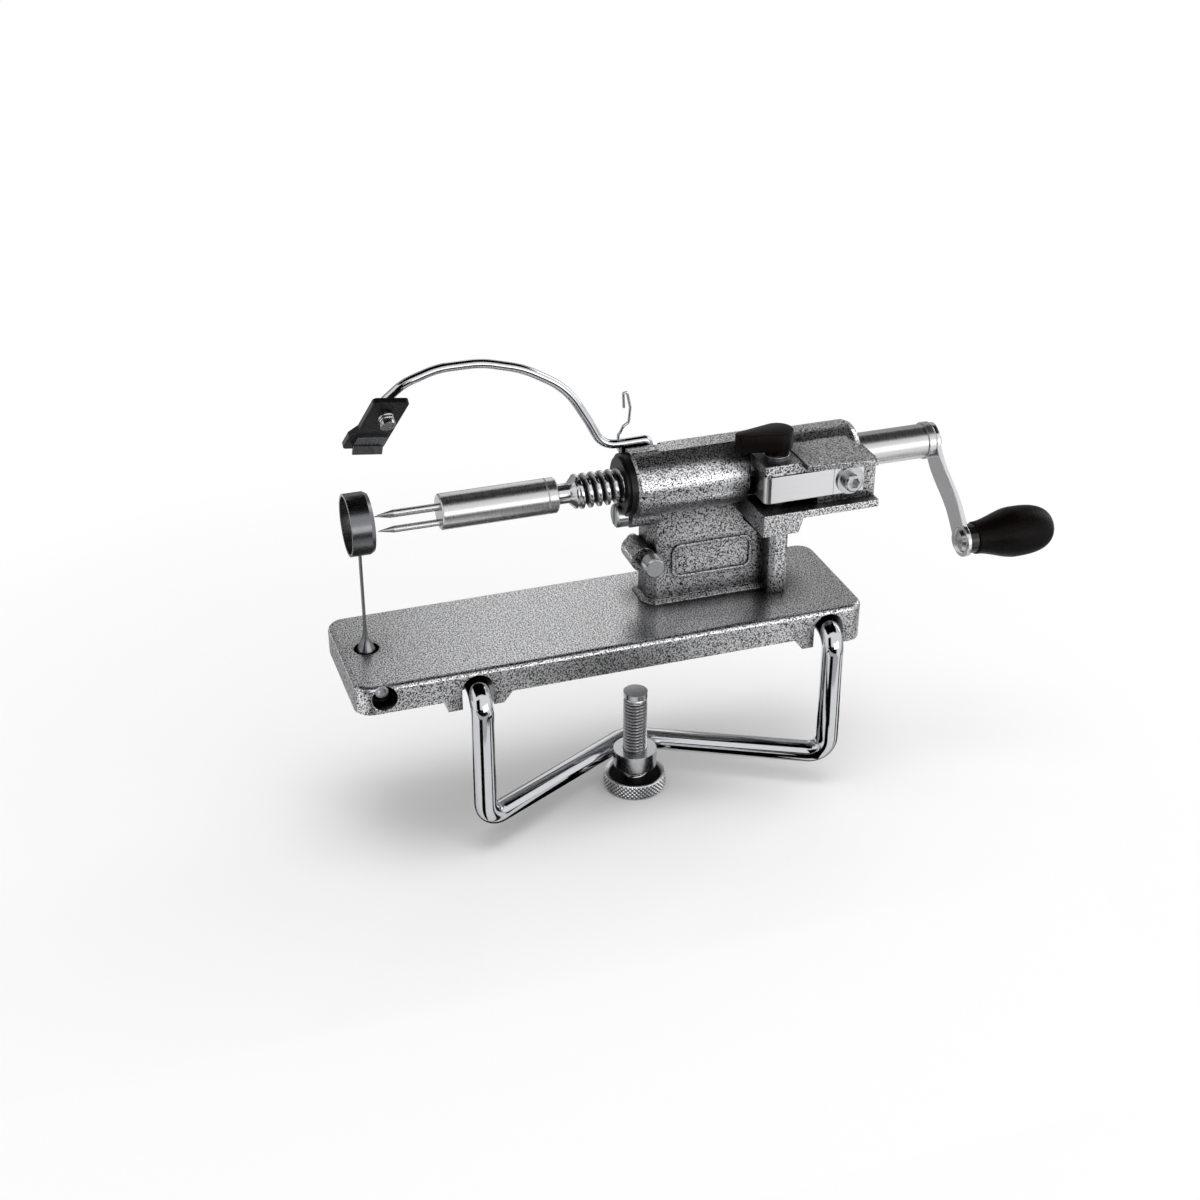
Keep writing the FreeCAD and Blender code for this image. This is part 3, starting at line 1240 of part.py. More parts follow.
# Check every object, then write every piece
doc.recompute()
for obj in doc.Objects:
    if "Invalid" in obj.State or "Error" in obj.State:
        raise RuntimeError("failed object: " + obj.Label)
os.makedirs("parts", exist_ok=True)
for name, obj in pieces.items():
    shape = obj.Shape
    if shape.isNull() or not shape.isValid() or not shape.Solids:
        raise RuntimeError("bad shape: " + name)
    shape.exportStep("parts/" + name + ".step")
    box = shape.BoundBox
    print(name, len(shape.Solids), round(shape.Volume, 1),
          "x %.1f..%.1f y %.1f..%.1f z %.1f..%.1f" % (box.XMin, box.XMax, box.YMin, box.YMax,
                                                      box.ZMin, box.ZMax))
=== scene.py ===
# %% [markdown]
# # A hand-cranked apple peeler, dressed for the camera
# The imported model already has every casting, rod and screw at its real size.
# This lesson adds what it leaves out: cut threads, a knurl, five pieces with finer
# forms, and a finish for every surface. Lengths in the text are millimetres;
# Blender itself works in metres.

import json
import math
import bmesh
import bpy
import numpy as np
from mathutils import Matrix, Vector


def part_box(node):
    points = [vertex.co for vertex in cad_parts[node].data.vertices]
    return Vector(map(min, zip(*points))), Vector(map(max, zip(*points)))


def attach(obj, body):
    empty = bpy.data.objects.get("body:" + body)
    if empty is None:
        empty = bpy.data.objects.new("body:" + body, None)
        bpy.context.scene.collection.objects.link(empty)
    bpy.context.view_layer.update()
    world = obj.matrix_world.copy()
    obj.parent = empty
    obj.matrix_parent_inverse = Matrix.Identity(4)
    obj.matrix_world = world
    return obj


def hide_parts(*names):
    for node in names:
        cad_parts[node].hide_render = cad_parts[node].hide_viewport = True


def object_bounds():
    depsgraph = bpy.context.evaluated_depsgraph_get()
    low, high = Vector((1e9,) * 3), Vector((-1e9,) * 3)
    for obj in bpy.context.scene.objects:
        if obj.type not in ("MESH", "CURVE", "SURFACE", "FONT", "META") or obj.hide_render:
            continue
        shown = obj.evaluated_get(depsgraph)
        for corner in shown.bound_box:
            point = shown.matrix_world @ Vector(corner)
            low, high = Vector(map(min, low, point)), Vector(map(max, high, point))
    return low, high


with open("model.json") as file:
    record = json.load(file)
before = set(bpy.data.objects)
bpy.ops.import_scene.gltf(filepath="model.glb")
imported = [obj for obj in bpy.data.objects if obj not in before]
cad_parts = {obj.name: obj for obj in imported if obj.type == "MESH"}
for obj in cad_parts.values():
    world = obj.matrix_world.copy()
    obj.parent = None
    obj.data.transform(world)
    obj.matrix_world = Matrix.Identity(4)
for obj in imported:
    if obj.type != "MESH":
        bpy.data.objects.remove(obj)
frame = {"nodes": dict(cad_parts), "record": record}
cad_bounds = [list(corner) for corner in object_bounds()]
MM = 0.001
SPINDLE_HEIGHT = 70.0
print("nodes in the model:", len(frame["nodes"]))

# %% [markdown]
# ## The camera
# The view looks down on the peeler from its front left. Straight edges of the
# base, the barrel and the clamp rods fix the place of the camera, its turn and
# its lens, so a made-up camera would never line up as well as this one.

# %% Place the camera
AZIMUTH = math.radians(18.847)
ELEVATION = math.radians(28.998)
camera_data = bpy.data.cameras.new("camera")
camera_data.sensor_width = 36.0
camera_data.lens = 56.89
camera_data.clip_start = 0.05
camera_data.clip_end = 20.0
camera = bpy.data.objects.new("camera", camera_data)
bpy.context.scene.collection.objects.link(camera)
forward = Vector((math.sin(AZIMUTH) * math.cos(ELEVATION),
                  math.cos(AZIMUTH) * math.cos(ELEVATION), -math.sin(ELEVATION)))
camera.rotation_mode = "QUATERNION"
camera.rotation_quaternion = forward.to_track_quat("-Z", "Y")
camera.location = Vector((-155.34, -629.68, 389.11)) * MM
bpy.context.scene.camera = camera
bpy.context.scene.view_settings.view_transform = "Standard"
print("camera distance, mm:", round(camera.location.length / MM))

# %% [markdown]
# ## Small helpers
# Colours are written as sRGB hex, as a paint chart gives them, and turned to the
# linear values that light adds up in. One helper adds a node to a material with
# its settings and its links, so that each line of a material says one thing.

# %% Helpers for colour and nodes
def linear(hex_code):
    """sRGB hex to linear RGBA: each channel is ((c + 0.055) / 1.055) to the power 2.4."""
    channels = np.array([int(hex_code[i:i + 2], 16) / 255 for i in (1, 3, 5)])
    low = channels / 12.92
    high = ((channels + 0.055) / 1.055) ** 2.4
    return (*np.where(channels <= 0.04045, low, high), 1.0)


def add(tree, kind, settings=None, links=None):
    """Add one node; settings fill its sockets or properties, links join sockets to it."""
    node = tree.nodes.new(kind)
    for key, value in (settings or {}).items():
        if isinstance(key, int) or key in node.inputs:
            node.inputs[key].default_value = value
        else:
            setattr(node, key, value)
    for key, socket in (links or {}).items():
        tree.links.new(socket, node.inputs[key])
    return node


def start_material(name):
    """A new material, its node tree and the shader that waits in it."""
    material = bpy.data.materials.new(name)
    material.use_nodes = True
    tree = material.node_tree
    return material, tree, tree.nodes["Principled BSDF"]


def dress(piece, material):
    """Give a piece this finish and no other."""
    piece.data.materials.clear()
    piece.data.materials.append(material)


print("middle grey #808080 in linear light:", round(linear("#808080")[0], 3))

# %% [markdown]
# A surface here is a grid of points worked out at once with numpy. Most pieces of
# a peeler come off a lathe, so the first helper turns a profile round an axis.

# %% Helpers for turned shapes
def full_turn(sides):
    """Angles of one whole turn in equal steps, without the first one again at the end."""
    return np.linspace(0, 2 * np.pi, sides, endpoint=False)


def smooth(share):
    """A smoothstep: share squared times (3 - 2 share), level at 0 and at 1."""
    return share ** 2 * (3 - 2 * share)


def spun(along, radius, centre, axis, sides=64):
    """Points of a turned shape: at each turn angle the profile stands at
    radius * cos(turn) and radius * sin(turn) beside the axis, and at along on it."""
    turn = full_turn(sides)
    along, radius = [np.asarray(row, float) for row in (along, radius)]
    along = along if along.ndim == 2 else np.repeat(along[:, None], sides, axis=1)
    radius = radius if radius.ndim == 2 else np.repeat(radius[:, None], sides, axis=1)
    first, second = radius * np.cos(turn), radius * np.sin(turn)
    x, y, z = centre
    if axis == "x":
        return np.stack([along, y + first, z + second], axis=-1)
    if axis == "y":
        return np.stack([x + second, along, z + first], axis=-1)
    return np.stack([x + first, y + second, along], axis=-1)


print("a plain ring, grid of:", spun([0, 1], [5, 5], (0, 0, 0), "x").shape)

# %% [markdown]
# The next helper lays a closed skin over such a grid. The last ones give the new
# piece its place in the model: the body it moves with and the node it stands for.

# %% Helpers for surfaces and their place in the model
MERGE_MM = 0.001


def surface(name, points, sharp_degrees=40, cut=None):
    """A closed skin over points [along, around, xyz]: quads between rings, a lid on each end.
    A ring drawn in to one point closes as a pole. Normals are turned outwards, and edges
    steeper than sharp_degrees stay crisp. cut tells how deep a point lies in a groove, 0 to 1."""
    rows, columns = points.shape[:2]
    i, j = np.meshgrid(np.arange(rows - 1), np.arange(columns), indexing="ij")
    k = (j + 1) % columns
    quads = np.stack([i * columns + j, i * columns + k, (i + 1) * columns + k,
                      (i + 1) * columns + j], axis=-1).reshape(-1, 4)
    lids = [list(range(columns)), list(range((rows - 1) * columns, rows * columns))]
    mesh = bpy.data.meshes.new(name)
    mesh.from_pydata((points.reshape(-1, 3) * MM).tolist(), [], quads.tolist() + lids)
    if cut is not None:
        depth = mesh.attributes.new("cut", "FLOAT", "POINT")
        depth.data.foreach_set("value", cut.ravel().astype(np.float32))
    shell = bmesh.new()
    shell.from_mesh(mesh)
    bmesh.ops.remove_doubles(shell, verts=shell.verts, dist=MERGE_MM * MM)
    bmesh.ops.recalc_face_normals(shell, faces=shell.faces)
    shell.to_mesh(mesh)
    shell.free()
    mesh.polygons.foreach_set("use_smooth", [True] * len(mesh.polygons))
    mesh.set_sharp_from_angle(angle=math.radians(sharp_degrees))
    piece = bpy.data.objects.new(name, mesh)
    bpy.context.scene.collection.objects.link(piece)
    return piece


def fit(piece, material, body, node):
    """Give a new piece its finish, the body it rides on and the node it stands for."""
    dress(piece, material)
    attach(piece, body)
    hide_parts(node)
    print(piece.name, "stands for", node, "with", len(piece.data.polygons), "faces")


def centre_of(node):
    """The middle of a node's box, in millimetres."""
    low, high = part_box(node)
    return tuple((low + high) / 2 / MM)


print("middle of the clamp wheel, mm:", [round(value, 1) for value in centre_of("clamp_wheel")])

# %% [markdown]
# ## White all round
# The background is pure white. More light would burn out the steel, so the white
# is a colour of the surroundings instead: seen by the camera, or in a reflection,
# the world is exactly 1, while it lights matt surfaces at only 0.6 of that.

# %% The world
LIGHT_ON_MATT = 0.6


def seen_directly(tree):
    """1 for camera, glossy and transmission rays, else 0: the greatest of the three."""
    path = add(tree, "ShaderNodeLightPath")
    pair = add(tree, "ShaderNodeMath", {"operation": "MAXIMUM"},
               {0: path.outputs["Is Camera Ray"], 1: path.outputs["Is Glossy Ray"]})
    every = add(tree, "ShaderNodeMath", {"operation": "MAXIMUM"},
                {0: pair.outputs[0], 1: path.outputs["Is Transmission Ray"]})
    return every.outputs[0]


world = bpy.data.worlds.new("white_studio")
bpy.context.scene.world = world
world.use_nodes = True
sky = world.node_tree
sky.nodes["Background"].inputs["Color"].default_value = linear("#FFFFFF")
level = add(sky, "ShaderNodeMapRange", {"To Min": LIGHT_ON_MATT, "To Max": 1.0},
            {"Value": seen_directly(sky)})
sky.links.new(level.outputs["Result"], sky.nodes["Background"].inputs["Strength"])
print("the world lights matt surfaces at:", LIGHT_ON_MATT)

# %% [markdown]
# The floor is white paper just under the peeler. It keeps the shadow nearby, and
# between 120 and 340 mm from the left clamp leg it fades into the same white.

# %% The floor
FLOOR_GAP_MM = 0.5
SPAN = 6.0
PAPER_UNTIL, WHITE_FROM = 0.12, 0.34
FLOOR_Z = cad_bounds[0][2] - FLOOR_GAP_MM * MM
floor_mesh = bpy.data.meshes.new("floor")
floor_mesh.from_pydata([(-SPAN, -SPAN, FLOOR_Z), (SPAN, -SPAN, FLOOR_Z), (SPAN, SPAN, FLOOR_Z),
                        (-SPAN, SPAN, FLOOR_Z)], [], [(0, 1, 2, 3)])
floor = bpy.data.objects.new("floor", floor_mesh)
bpy.context.scene.collection.objects.link(floor)

floor_paint, tree, shader = start_material("white_paper_floor")
shader.inputs["Base Color"].default_value = linear("#FAFAFA")
shader.inputs["Roughness"].default_value = 0.9
place = add(tree, "ShaderNodeTexCoord")
reach = add(tree, "ShaderNodeVectorMath", {"operation": "LENGTH"}, {0: place.outputs["Object"]})
far = add(tree, "ShaderNodeMapRange", {"From Min": PAPER_UNTIL, "From Max": WHITE_FROM},
          {"Value": reach.outputs["Value"]})
share = add(tree, "ShaderNodeMath", {"operation": "MULTIPLY"},
            {0: far.outputs["Result"], 1: seen_directly(tree)})
white = add(tree, "ShaderNodeEmission", {"Color": linear("#FFFFFF"), "Strength": 1.0})
blend = add(tree, "ShaderNodeMixShader", {}, {0: share.outputs[0], 1: shader.outputs[0],
                                              2: white.outputs[0]})
tree.links.new(blend.outputs[0], tree.nodes["Material Output"].inputs["Surface"])
dress(floor, floor_paint)
print("floor lies at, mm:", round(FLOOR_Z / MM, 1))

# %% [markdown]
# ## Soft lamps
# The camera stands to the left, so the barrel mirrors what stands to the right:
# a wide, mild lamp stands there, low in front, and draws the barrel's bright band.
# The strongest hangs overhead and a third picks out the crank from the right.
# Together with the world they light a white sheet to just under white.

# %% Lamps
MIDDLE = Vector((0.06, 0.0, 0.03))


def soft_lamp(name, place, size, power):
    """An area lamp that looks at the middle of the peeler."""
    lamp = bpy.data.lights.new(name, "AREA")
    lamp.shape = "RECTANGLE"
    lamp.size, lamp.size_y = size
    lamp.energy = power
    holder = bpy.data.objects.new(name, lamp)
    holder.location = place
    holder.rotation_mode = "QUATERNION"
    holder.rotation_quaternion = (MIDDLE - Vector(place)).to_track_quat("-Z", "Y")
    bpy.context.scene.collection.objects.link(holder)
    return holder


front_key = soft_lamp("front_key", (0.42, -0.95, 0.155), (1.0, 0.4), 1.8)
overhead = soft_lamp("overhead", (0.0, -0.1, 1.1), (0.9, 0.6), 5.4)
right_rim = soft_lamp("right_rim", (1.1, 0.3, 0.5), (0.4, 0.8), 2.0)
# The overhead lamp only fills the shadows; in the metal the dark ceiling shows instead.
overhead.visible_glossy = False
print("lamps, watts:", {lamp.name: round(lamp.data.energy, 1)
                        for lamp in (front_key, overhead, right_rim)})

# %% [markdown]
# ## Cards for the metal
# Chrome in an all-white room looks like white paint. Photographers stand black
# and grey cards out of view, and the metal draws its dark lines from them. These
# cards show only in reflections: they shade nothing and no camera sees them.

# %% Paints and helpers for the cards
card_paint, tree, shader = start_material("black_card")
shader.inputs["Base Color"].default_value = linear("#050505")
shader.inputs["Roughness"].default_value = 1.0
shader.inputs["Specular IOR Level"].default_value = 0.0


def glowing_paint(name, colour):
    """A card paint that shows its colour whatever light falls on it."""
    paint, tree, _ = start_material(name)
    glow = add(tree, "ShaderNodeEmission", {"Color": linear(colour), "Strength": 1.0})
    tree.links.new(glow.outputs[0], tree.nodes["Material Output"].inputs["Surface"])
    return paint


grey_paint = glowing_paint("grey_card", "#A4A4A4")
pale_paint = glowing_paint("pale_card", "#C0C0C0")


def card(name, corners, paint=card_paint):
    """A flat sheet that shows only in reflections."""
    mesh = bpy.data.meshes.new(name)
    mesh.from_pydata(corners, [], [tuple(range(len(corners)))])
    sheet = bpy.data.objects.new(name, mesh)
    bpy.context.scene.collection.objects.link(sheet)
    sheet.visible_camera = False
    sheet.visible_diffuse = False
    sheet.visible_transmission = False
    sheet.visible_shadow = False
    dress(sheet, paint)
    return sheet


def oblong(first, second):
    """Corners of a rectangle, from its two values on each of two axes."""
    return [(first[0], second[0]), (first[1], second[0]), (first[1], second[1]),
            (first[0], second[1])]


def standing_card(name, x, y, z, paint=card_paint):
    """An upright sheet across the view, from two x, one y and two z values."""
    return card(name, [(across, y, up) for across, up in oblong(x, z)], paint)


def floor_card(name, corners, paint=card_paint, lift_mm=0.2):
    """A sheet on the floor, from the x and y of its corners. Sheets that overlap get a
    different lift, and the highest one shows."""
    return card(name, [(x, y, FLOOR_Z + lift_mm * MM) for x, y in corners], paint)


print("card paints:", [paint.name for paint in (card_paint, grey_paint, pale_paint)])

# %% [markdown]
# Behind the peeler stand grey cards with a black strip at the horizon, because the
# base's top and the block's plate mirror that side. Another black strip stands low
# in front, left of the middle, and darkens the horizon that round pieces mirror there.

# %% Cards behind and in front
CARD_FOOT = -0.06
HORIZON = 0.10
REAR_Y = 1.0
standing_card("rear_right_card", (0.50, 2.6), REAR_Y, (CARD_FOOT, 1.1), grey_paint)
standing_card("rear_left_card", (-2.5, 0.20), REAR_Y, (HORIZON, 1.1), grey_paint)
standing_card("rear_horizon_card", (-2.5, 0.50), REAR_Y, (CARD_FOOT, HORIZON))
standing_card("front_horizon_card", (-2.0, 0.0), -1.6, (CARD_FOOT, 0.16))
print("horizon card, mm above the sole:", round(HORIZON / MM))

# %% [markdown]
# Upright faces look down on the floor in front. Its near part is pale, so the
# castings' fronts stay below their tops; its far part is black, for the barrel's
# dark underside. Both stop at a slanting line, to the right of which the bright
# leaf sees white floor. The ceiling is black, and darkens the tops of round pieces.

# %% Cards on the floor in front, and the ceiling
NEAR_Y, MEET_Y, FAR_Y = -0.12, -0.24, -1.6
CEILING_Z = 1.25
floor_card("near_floor_card", [(-0.5, MEET_Y), (0.20, MEET_Y), (0.22, NEAR_Y), (-0.5, NEAR_Y)],
           pale_paint)
floor_card("far_floor_card", [(-1.6, FAR_Y), (0.66, FAR_Y), (0.20, MEET_Y), (-0.5, MEET_Y)])
card("roof_card", [(x, y, CEILING_Z) for x, y in oblong((-1.6, 1.6), (-0.75, 1.0))])
print("pale floor from", NEAR_Y, "to", MEET_Y, "m, black floor to", FAR_Y, "m")

# %% [markdown]
# Beside the camera the room is dark, and so is the left of every round casting.
# Three grey sheets on the floor keep the left, rear and right faces from glaring.

# %% Cards on the other sides
standing_card("front_left_card", (-1.8, -0.5), -0.9, (CARD_FOOT, 0.9))
side_floor = [floor_card("left_floor_card", oblong((-0.25, -0.06), (0.02, 0.25)), grey_paint),
              floor_card("rear_floor_card", oblong((-0.06, 0.60), (0.10, 0.80)), grey_paint),
              floor_card("right_floor_card", oblong((0.27, 0.80), (-0.12, 0.10)), grey_paint)]
print("grey floor cards:", [sheet.name for sheet in side_floor])

# %% [markdown]
# The upright clamp rods only mirror the floor beside them, so their dark stripes
# come from narrow fans that spread on the floor from the foot of each rod. A strip
# in front of the right lower rod gives it the black stripe below its middle.

# %% Fans and a strip for the clamp rods
ROD_RADIUS = 4.45 * MM
FAN_RADIUS = 0.15
FAN_DEGREES = ((-33, -20), (-138, -106), (0, 140))
low_rod, high_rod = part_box("clamp_bracket")
foot_y = low_rod.y + ROD_RADIUS
for side, foot_x in (("left", low_rod.x + ROD_RADIUS), ("right", high_rod.x - ROD_RADIUS)):
    for k, edges in enumerate(FAN_DEGREES):
        rim = [(foot_x + FAN_RADIUS * math.cos(math.radians(edge)),
                foot_y + FAN_RADIUS * math.sin(math.radians(edge))) for edge in edges]
        floor_card("floor_fan_%s_%d" % (side, k), [(foot_x, foot_y), *rim], lift_mm=0.3)
floor_card("floor_strip", [(0.138, -0.043), (0.076, -0.011), (0.066, -0.031), (0.128, -0.062)],
           lift_mm=0.4)
print("fans for each clamp rod:", len(FAN_DEGREES))

# %% [markdown]
# ## Hammer-finish enamel
# The castings wear hammer-finish enamel: a grey metallic paint that pulls into
# small pits while it dries, over cast iron. Seen close it is black and silver
# specks 0.55 mm wide, near the size of a pixel here, yet it is glossy enough to
# mirror the room in broad bands. So the specks are mostly colour, and they dent
# the surface only a little. A bevel worked out in the shader rounds the edges by
# 0.6 mm without touching the mesh, and the colour is darkened in corners and
# recesses as painted shade.

# %% Hammer-finish enamel
GRAIN_MM = 0.55
PIT_MM = 0.05
EDGE_MM = 0.6
CORNER_MM = 13.0
CORNER_POWER = 2.5
hammered, tree, shader = start_material("hammer_finish_enamel")
place = add(tree, "ShaderNodeTexCoord")
grain = add(tree, "ShaderNodeTexNoise",
            {"Scale": 1000.0 / GRAIN_MM, "Detail": 1.0, "Roughness": 0.5},
            {"Vector": place.outputs["Object"]})
tone = add(tree, "ShaderNodeValToRGB", {}, {"Fac": grain.outputs["Fac"]})
tone.color_ramp.elements[0].position = 0.38
tone.color_ramp.elements[0].color = linear("#1A1A1A")
tone.color_ramp.elements[1].position = 0.56
tone.color_ramp.elements[1].color = linear("#EEEEF0")
# The share of open air, raised to a power: 1 on open faces, near 0 deep in a corner.
# The colour is scaled by it, as painted shade in corners and recesses.
open_air = add(tree, "ShaderNodeAmbientOcclusion", {"samples": 8, "Distance": CORNER_MM * MM})
shade = add(tree, "ShaderNodeMath", {"operation": "POWER", 1: CORNER_POWER},
            {0: open_air.outputs["AO"]})
# Painted shade: the speck colour darkened in corners and recesses.
corners = add(tree, "ShaderNodeVectorMath", {"operation": "SCALE"},
              {0: tone.outputs["Color"], 3: shade.outputs[0]})
round_edges = add(tree, "ShaderNodeBevel", {"samples": 6, "Radius": EDGE_MM * MM})
dents = add(tree, "ShaderNodeBump", {"Strength": 0.4, "Distance": PIT_MM * MM},
            {"Height": grain.outputs["Fac"], "Normal": round_edges.outputs["Normal"]})
tree.links.new(corners.outputs["Vector"], shader.inputs["Base Color"])
tree.links.new(dents.outputs["Normal"], shader.inputs["Normal"])
shader.inputs["Metallic"].default_value = 0.96
shader.inputs["Roughness"].default_value = 0.28
print("enamel grain, mm:", GRAIN_MM)

# %% [markdown]
# ## Plastics, lacquer and plating
# The bush and the blade holder are moulded black nylon, the release knob is
# moulded phenolic with a touch of brown, and the grip is lacquered beech. Chrome
# on the rods is almost a mirror, and zinc on the screws is softer. Each finish
# has a slow change of roughness, because no surface is the same all over.

# %% Finishes with a drifting roughness
SMOOTHEST = 0.02
RIPPLE_MM = 0.2


def plain_finish(name, colour, roughness, metallic=0.0, spread=0.08, grain_mm=2.0, bump=0.05,
                 edge_mm=0.3, gloss=0.5):
    """Roughness drifts by a noise of the given grain; edges are rounded by edge_mm in shading.
    gloss is the strength of the clear reflection on a plastic: 0.5 is polished."""
    material, tree, shader = start_material(name)
    place = add(tree, "ShaderNodeTexCoord")
    drift = add(tree, "ShaderNodeTexNoise", {"Scale": 1000.0 / grain_mm, "Detail": 3.0},
                {"Vector": place.outputs["Object"]})
    rough = add(tree, "ShaderNodeMapRange",
                {"To Min": max(roughness - spread, SMOOTHEST), "To Max": roughness + spread},
                {"Value": drift.outputs["Fac"]})
    soft = add(tree, "ShaderNodeBevel", {"samples": 4, "Radius": edge_mm * MM})
    dents = add(tree, "ShaderNodeBump", {"Strength": bump, "Distance": RIPPLE_MM * MM},
                {"Height": drift.outputs["Fac"], "Normal": soft.outputs["Normal"]})
    tree.links.new(rough.outputs["Result"], shader.inputs["Roughness"])
    tree.links.new(dents.outputs["Normal"], shader.inputs["Normal"])
    shader.inputs["Base Color"].default_value = linear(colour)
    shader.inputs["Metallic"].default_value = metallic
    shader.inputs["Specular IOR Level"].default_value = gloss
    return material


black_nylon = plain_finish("moulded_black_nylon", "#080808", 0.36, grain_mm=0.8, bump=0.3,
                           gloss=0.3)
phenolic = plain_finish("moulded_brown_black_phenolic", "#0C0705", 0.36, grain_mm=0.7, bump=0.9,
                        gloss=0.1)
lacquer = plain_finish("black_lacquered_beech", "#080403", 0.34, grain_mm=0.9, bump=0.9,
                       gloss=0.08)
chrome = plain_finish("bright_chrome_plate", "#CFD0D3", 0.08, metallic=1.0, spread=0.03,
                      grain_mm=6.0, bump=0.01)
zinc = plain_finish("zinc_plated_steel", "#C6C7C9", 0.24, metallic=1.0, grain_mm=1.5)
print("plain finishes:", [m.name for m in (black_nylon, phenolic, lacquer, chrome, zinc)])

# %% [markdown]
# ## Turned and ground steel
# A lathe leaves fine rings round a tube, a belt leaves lines along a strip. Both
# are a noise squeezed along one axis, and they spread a highlight across the
# lines. Real lines are 0.05 mm apart, too fine to show, so they are drawn 0.25 mm
# apart here.

# %% Steels with fine lines
LINE_MM = 0.25
LINE_DEPTH_MM = 0.05
STEEL_EDGE_MM = 0.35


def lined_steel(name, colour, roughness, stretch):
    """Steel with fine lines: a noise squeezed by stretch along each axis. Its roughness
    runs from 0.06 under the given one to 0.08 over it."""
    material, tree, shader = start_material(name)
    place = add(tree, "ShaderNodeTexCoord")
    squeeze = add(tree, "ShaderNodeMapping", {"Scale": stretch},
                  {"Vector": place.outputs["Object"]})
    lines = add(tree, "ShaderNodeTexNoise", {"Scale": 1000.0 / LINE_MM, "Detail": 2.0},
                {"Vector": squeeze.outputs["Vector"]})
    rough = add(tree, "ShaderNodeMapRange",
                {"To Min": roughness - 0.06, "To Max": roughness + 0.08},
                {"Value": lines.outputs["Fac"]})
    soft = add(tree, "ShaderNodeBevel", {"samples": 4, "Radius": STEEL_EDGE_MM * MM})
    dents = add(tree, "ShaderNodeBump", {"Strength": 0.06, "Distance": LINE_DEPTH_MM * MM},
                {"Height": lines.outputs["Fac"], "Normal": soft.outputs["Normal"]})
    tree.links.new(rough.outputs["Result"], shader.inputs["Roughness"])
    tree.links.new(dents.outputs["Normal"], shader.inputs["Normal"])
    shader.inputs["Base Color"].default_value = linear(colour)
    shader.inputs["Metallic"].default_value = 1.0
    return material


spindle_steel = lined_steel("turned_stainless_steel", "#D2D2D3", 0.28, (1.0, 0.02, 0.02))
strip_steel = lined_steel("polished_spring_strip", "#DEDEE0", 0.20, (0.02, 0.3, 1.0))
blade_steel = lined_steel("ground_blade_steel", "#7A7B7E", 0.26, (0.05, 1.0, 0.05))
print("lined steels:", [m.name for m in (spindle_steel, strip_steel, blade_steel)])

# %% [markdown]
# ## Every node gets its finish
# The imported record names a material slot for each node, and each slot has one
# finish here. Only the boss in the middle of the clamp differs: it is zinc plated.

# %% Dress the nodes
finishes = {"hammered_enamel": hammered, "black_plastic": black_nylon, "black_grip": lacquer,
            "brushed_steel": spindle_steel, "polished_steel": strip_steel,
            "chrome_rod": chrome, "zinc_screw": zinc, "spring_steel": chrome,
            "blade_steel": blade_steel}
slots = {part["node"]: part["material_slot"] for part in frame["record"]["subparts"]}
for node_name, node in frame["nodes"].items():
    dress(node, finishes[slots[node_name]])
dress(frame["nodes"]["clamp_boss"], zinc)
print("finishes:", sorted(finishes))

# %% [markdown]
# ## Steel with cut grooves
# Threads and knurls are painted almost black in their grooves, as painted shade,
# and bright on their crests, as painted highlight; a film of oil makes the grooves
# a little rougher. The mesh knows how deep each point lies in its groove, and
# the colour follows that number.

# %% Steel painted dark in its grooves, as painted shade
CREST_UNTIL, GROOVE_FROM = 0.25, 0.85
OILY = 0.25


def groove_shaded_steel(name, bright, dark, roughness):
    """The colour runs from a painted highlight on a crest to painted shade at the bottom of a
    cut.
    """
    material, tree, shader = start_material(name)
    depth = add(tree, "ShaderNodeAttribute", {"attribute_name": "cut"})
    tone = add(tree, "ShaderNodeValToRGB", {}, {"Fac": depth.outputs["Fac"]})
    tone.color_ramp.elements[0].position = CREST_UNTIL
    tone.color_ramp.elements[0].color = linear(bright)
    tone.color_ramp.elements[1].position = GROOVE_FROM
    tone.color_ramp.elements[1].color = linear(dark)
    rough = add(tree, "ShaderNodeMapRange", {"To Min": roughness, "To Max": roughness + OILY},
                {"Value": depth.outputs["Fac"]})
    tree.links.new(tone.outputs["Color"], shader.inputs["Base Color"])
    tree.links.new(rough.outputs["Result"], shader.inputs["Roughness"])
    shader.inputs["Metallic"].default_value = 1.0
    return material


# Each bright crest colour is a painted highlight, and each dark groove colour is painted shade.
feed_steel = groove_shaded_steel("rolled_stainless_thread", "#D8D8DA", "#2C2C2D", 0.2)
stud_steel = groove_shaded_steel("zinc_plated_thread", "#DCDCDE", "#1E1E1F", 0.18)
knurled_steel = groove_shaded_steel("nickel_plated_knurl", "#F0F0F2", "#141414", 0.30)
print("grooved steels:", [m.name for m in (feed_steel, stud_steel, knurled_steel)])

# %% [markdown]
# ## Screw threads
# A thread is one ridge that winds round a bar. Stacked rings would look the same
# at a glance, but a nut could never run on them. Here every point's radius
# depends on both its place along the bar and its angle, so the ridge climbs by
# one pitch in each turn.

# %% A bar with a thread
ROWS_PER_PITCH = 14
RUN_OUT = 0.6


def wound_bar(profile_along, profile_radius, start, end, pitch, depth, shape, sides):
    """Along, radius and cut grids of a bar with a right-hand thread between start and end.
    radius = profile(along) - depth * cut, and cut = 1 - shape(along / pitch - turn / full
    turn), faded in and out over RUN_OUT of a pitch at both ends."""
    steps = np.arange(start, end, pitch / ROWS_PER_PITCH)
    rows = np.unique(np.concatenate([profile_along, steps]))
    along, turn = np.meshgrid(rows, full_turn(sides), indexing="ij")
    fade_in = np.clip((along - start) / (RUN_OUT * pitch), 0, 1)
    fade_out = np.clip((end - along) / (RUN_OUT * pitch), 0, 1)
    cut = fade_in * fade_out * (1 - shape(along / pitch - turn / (2 * np.pi)))
    return along, np.interp(along, profile_along, profile_radius) - depth * cut, cut


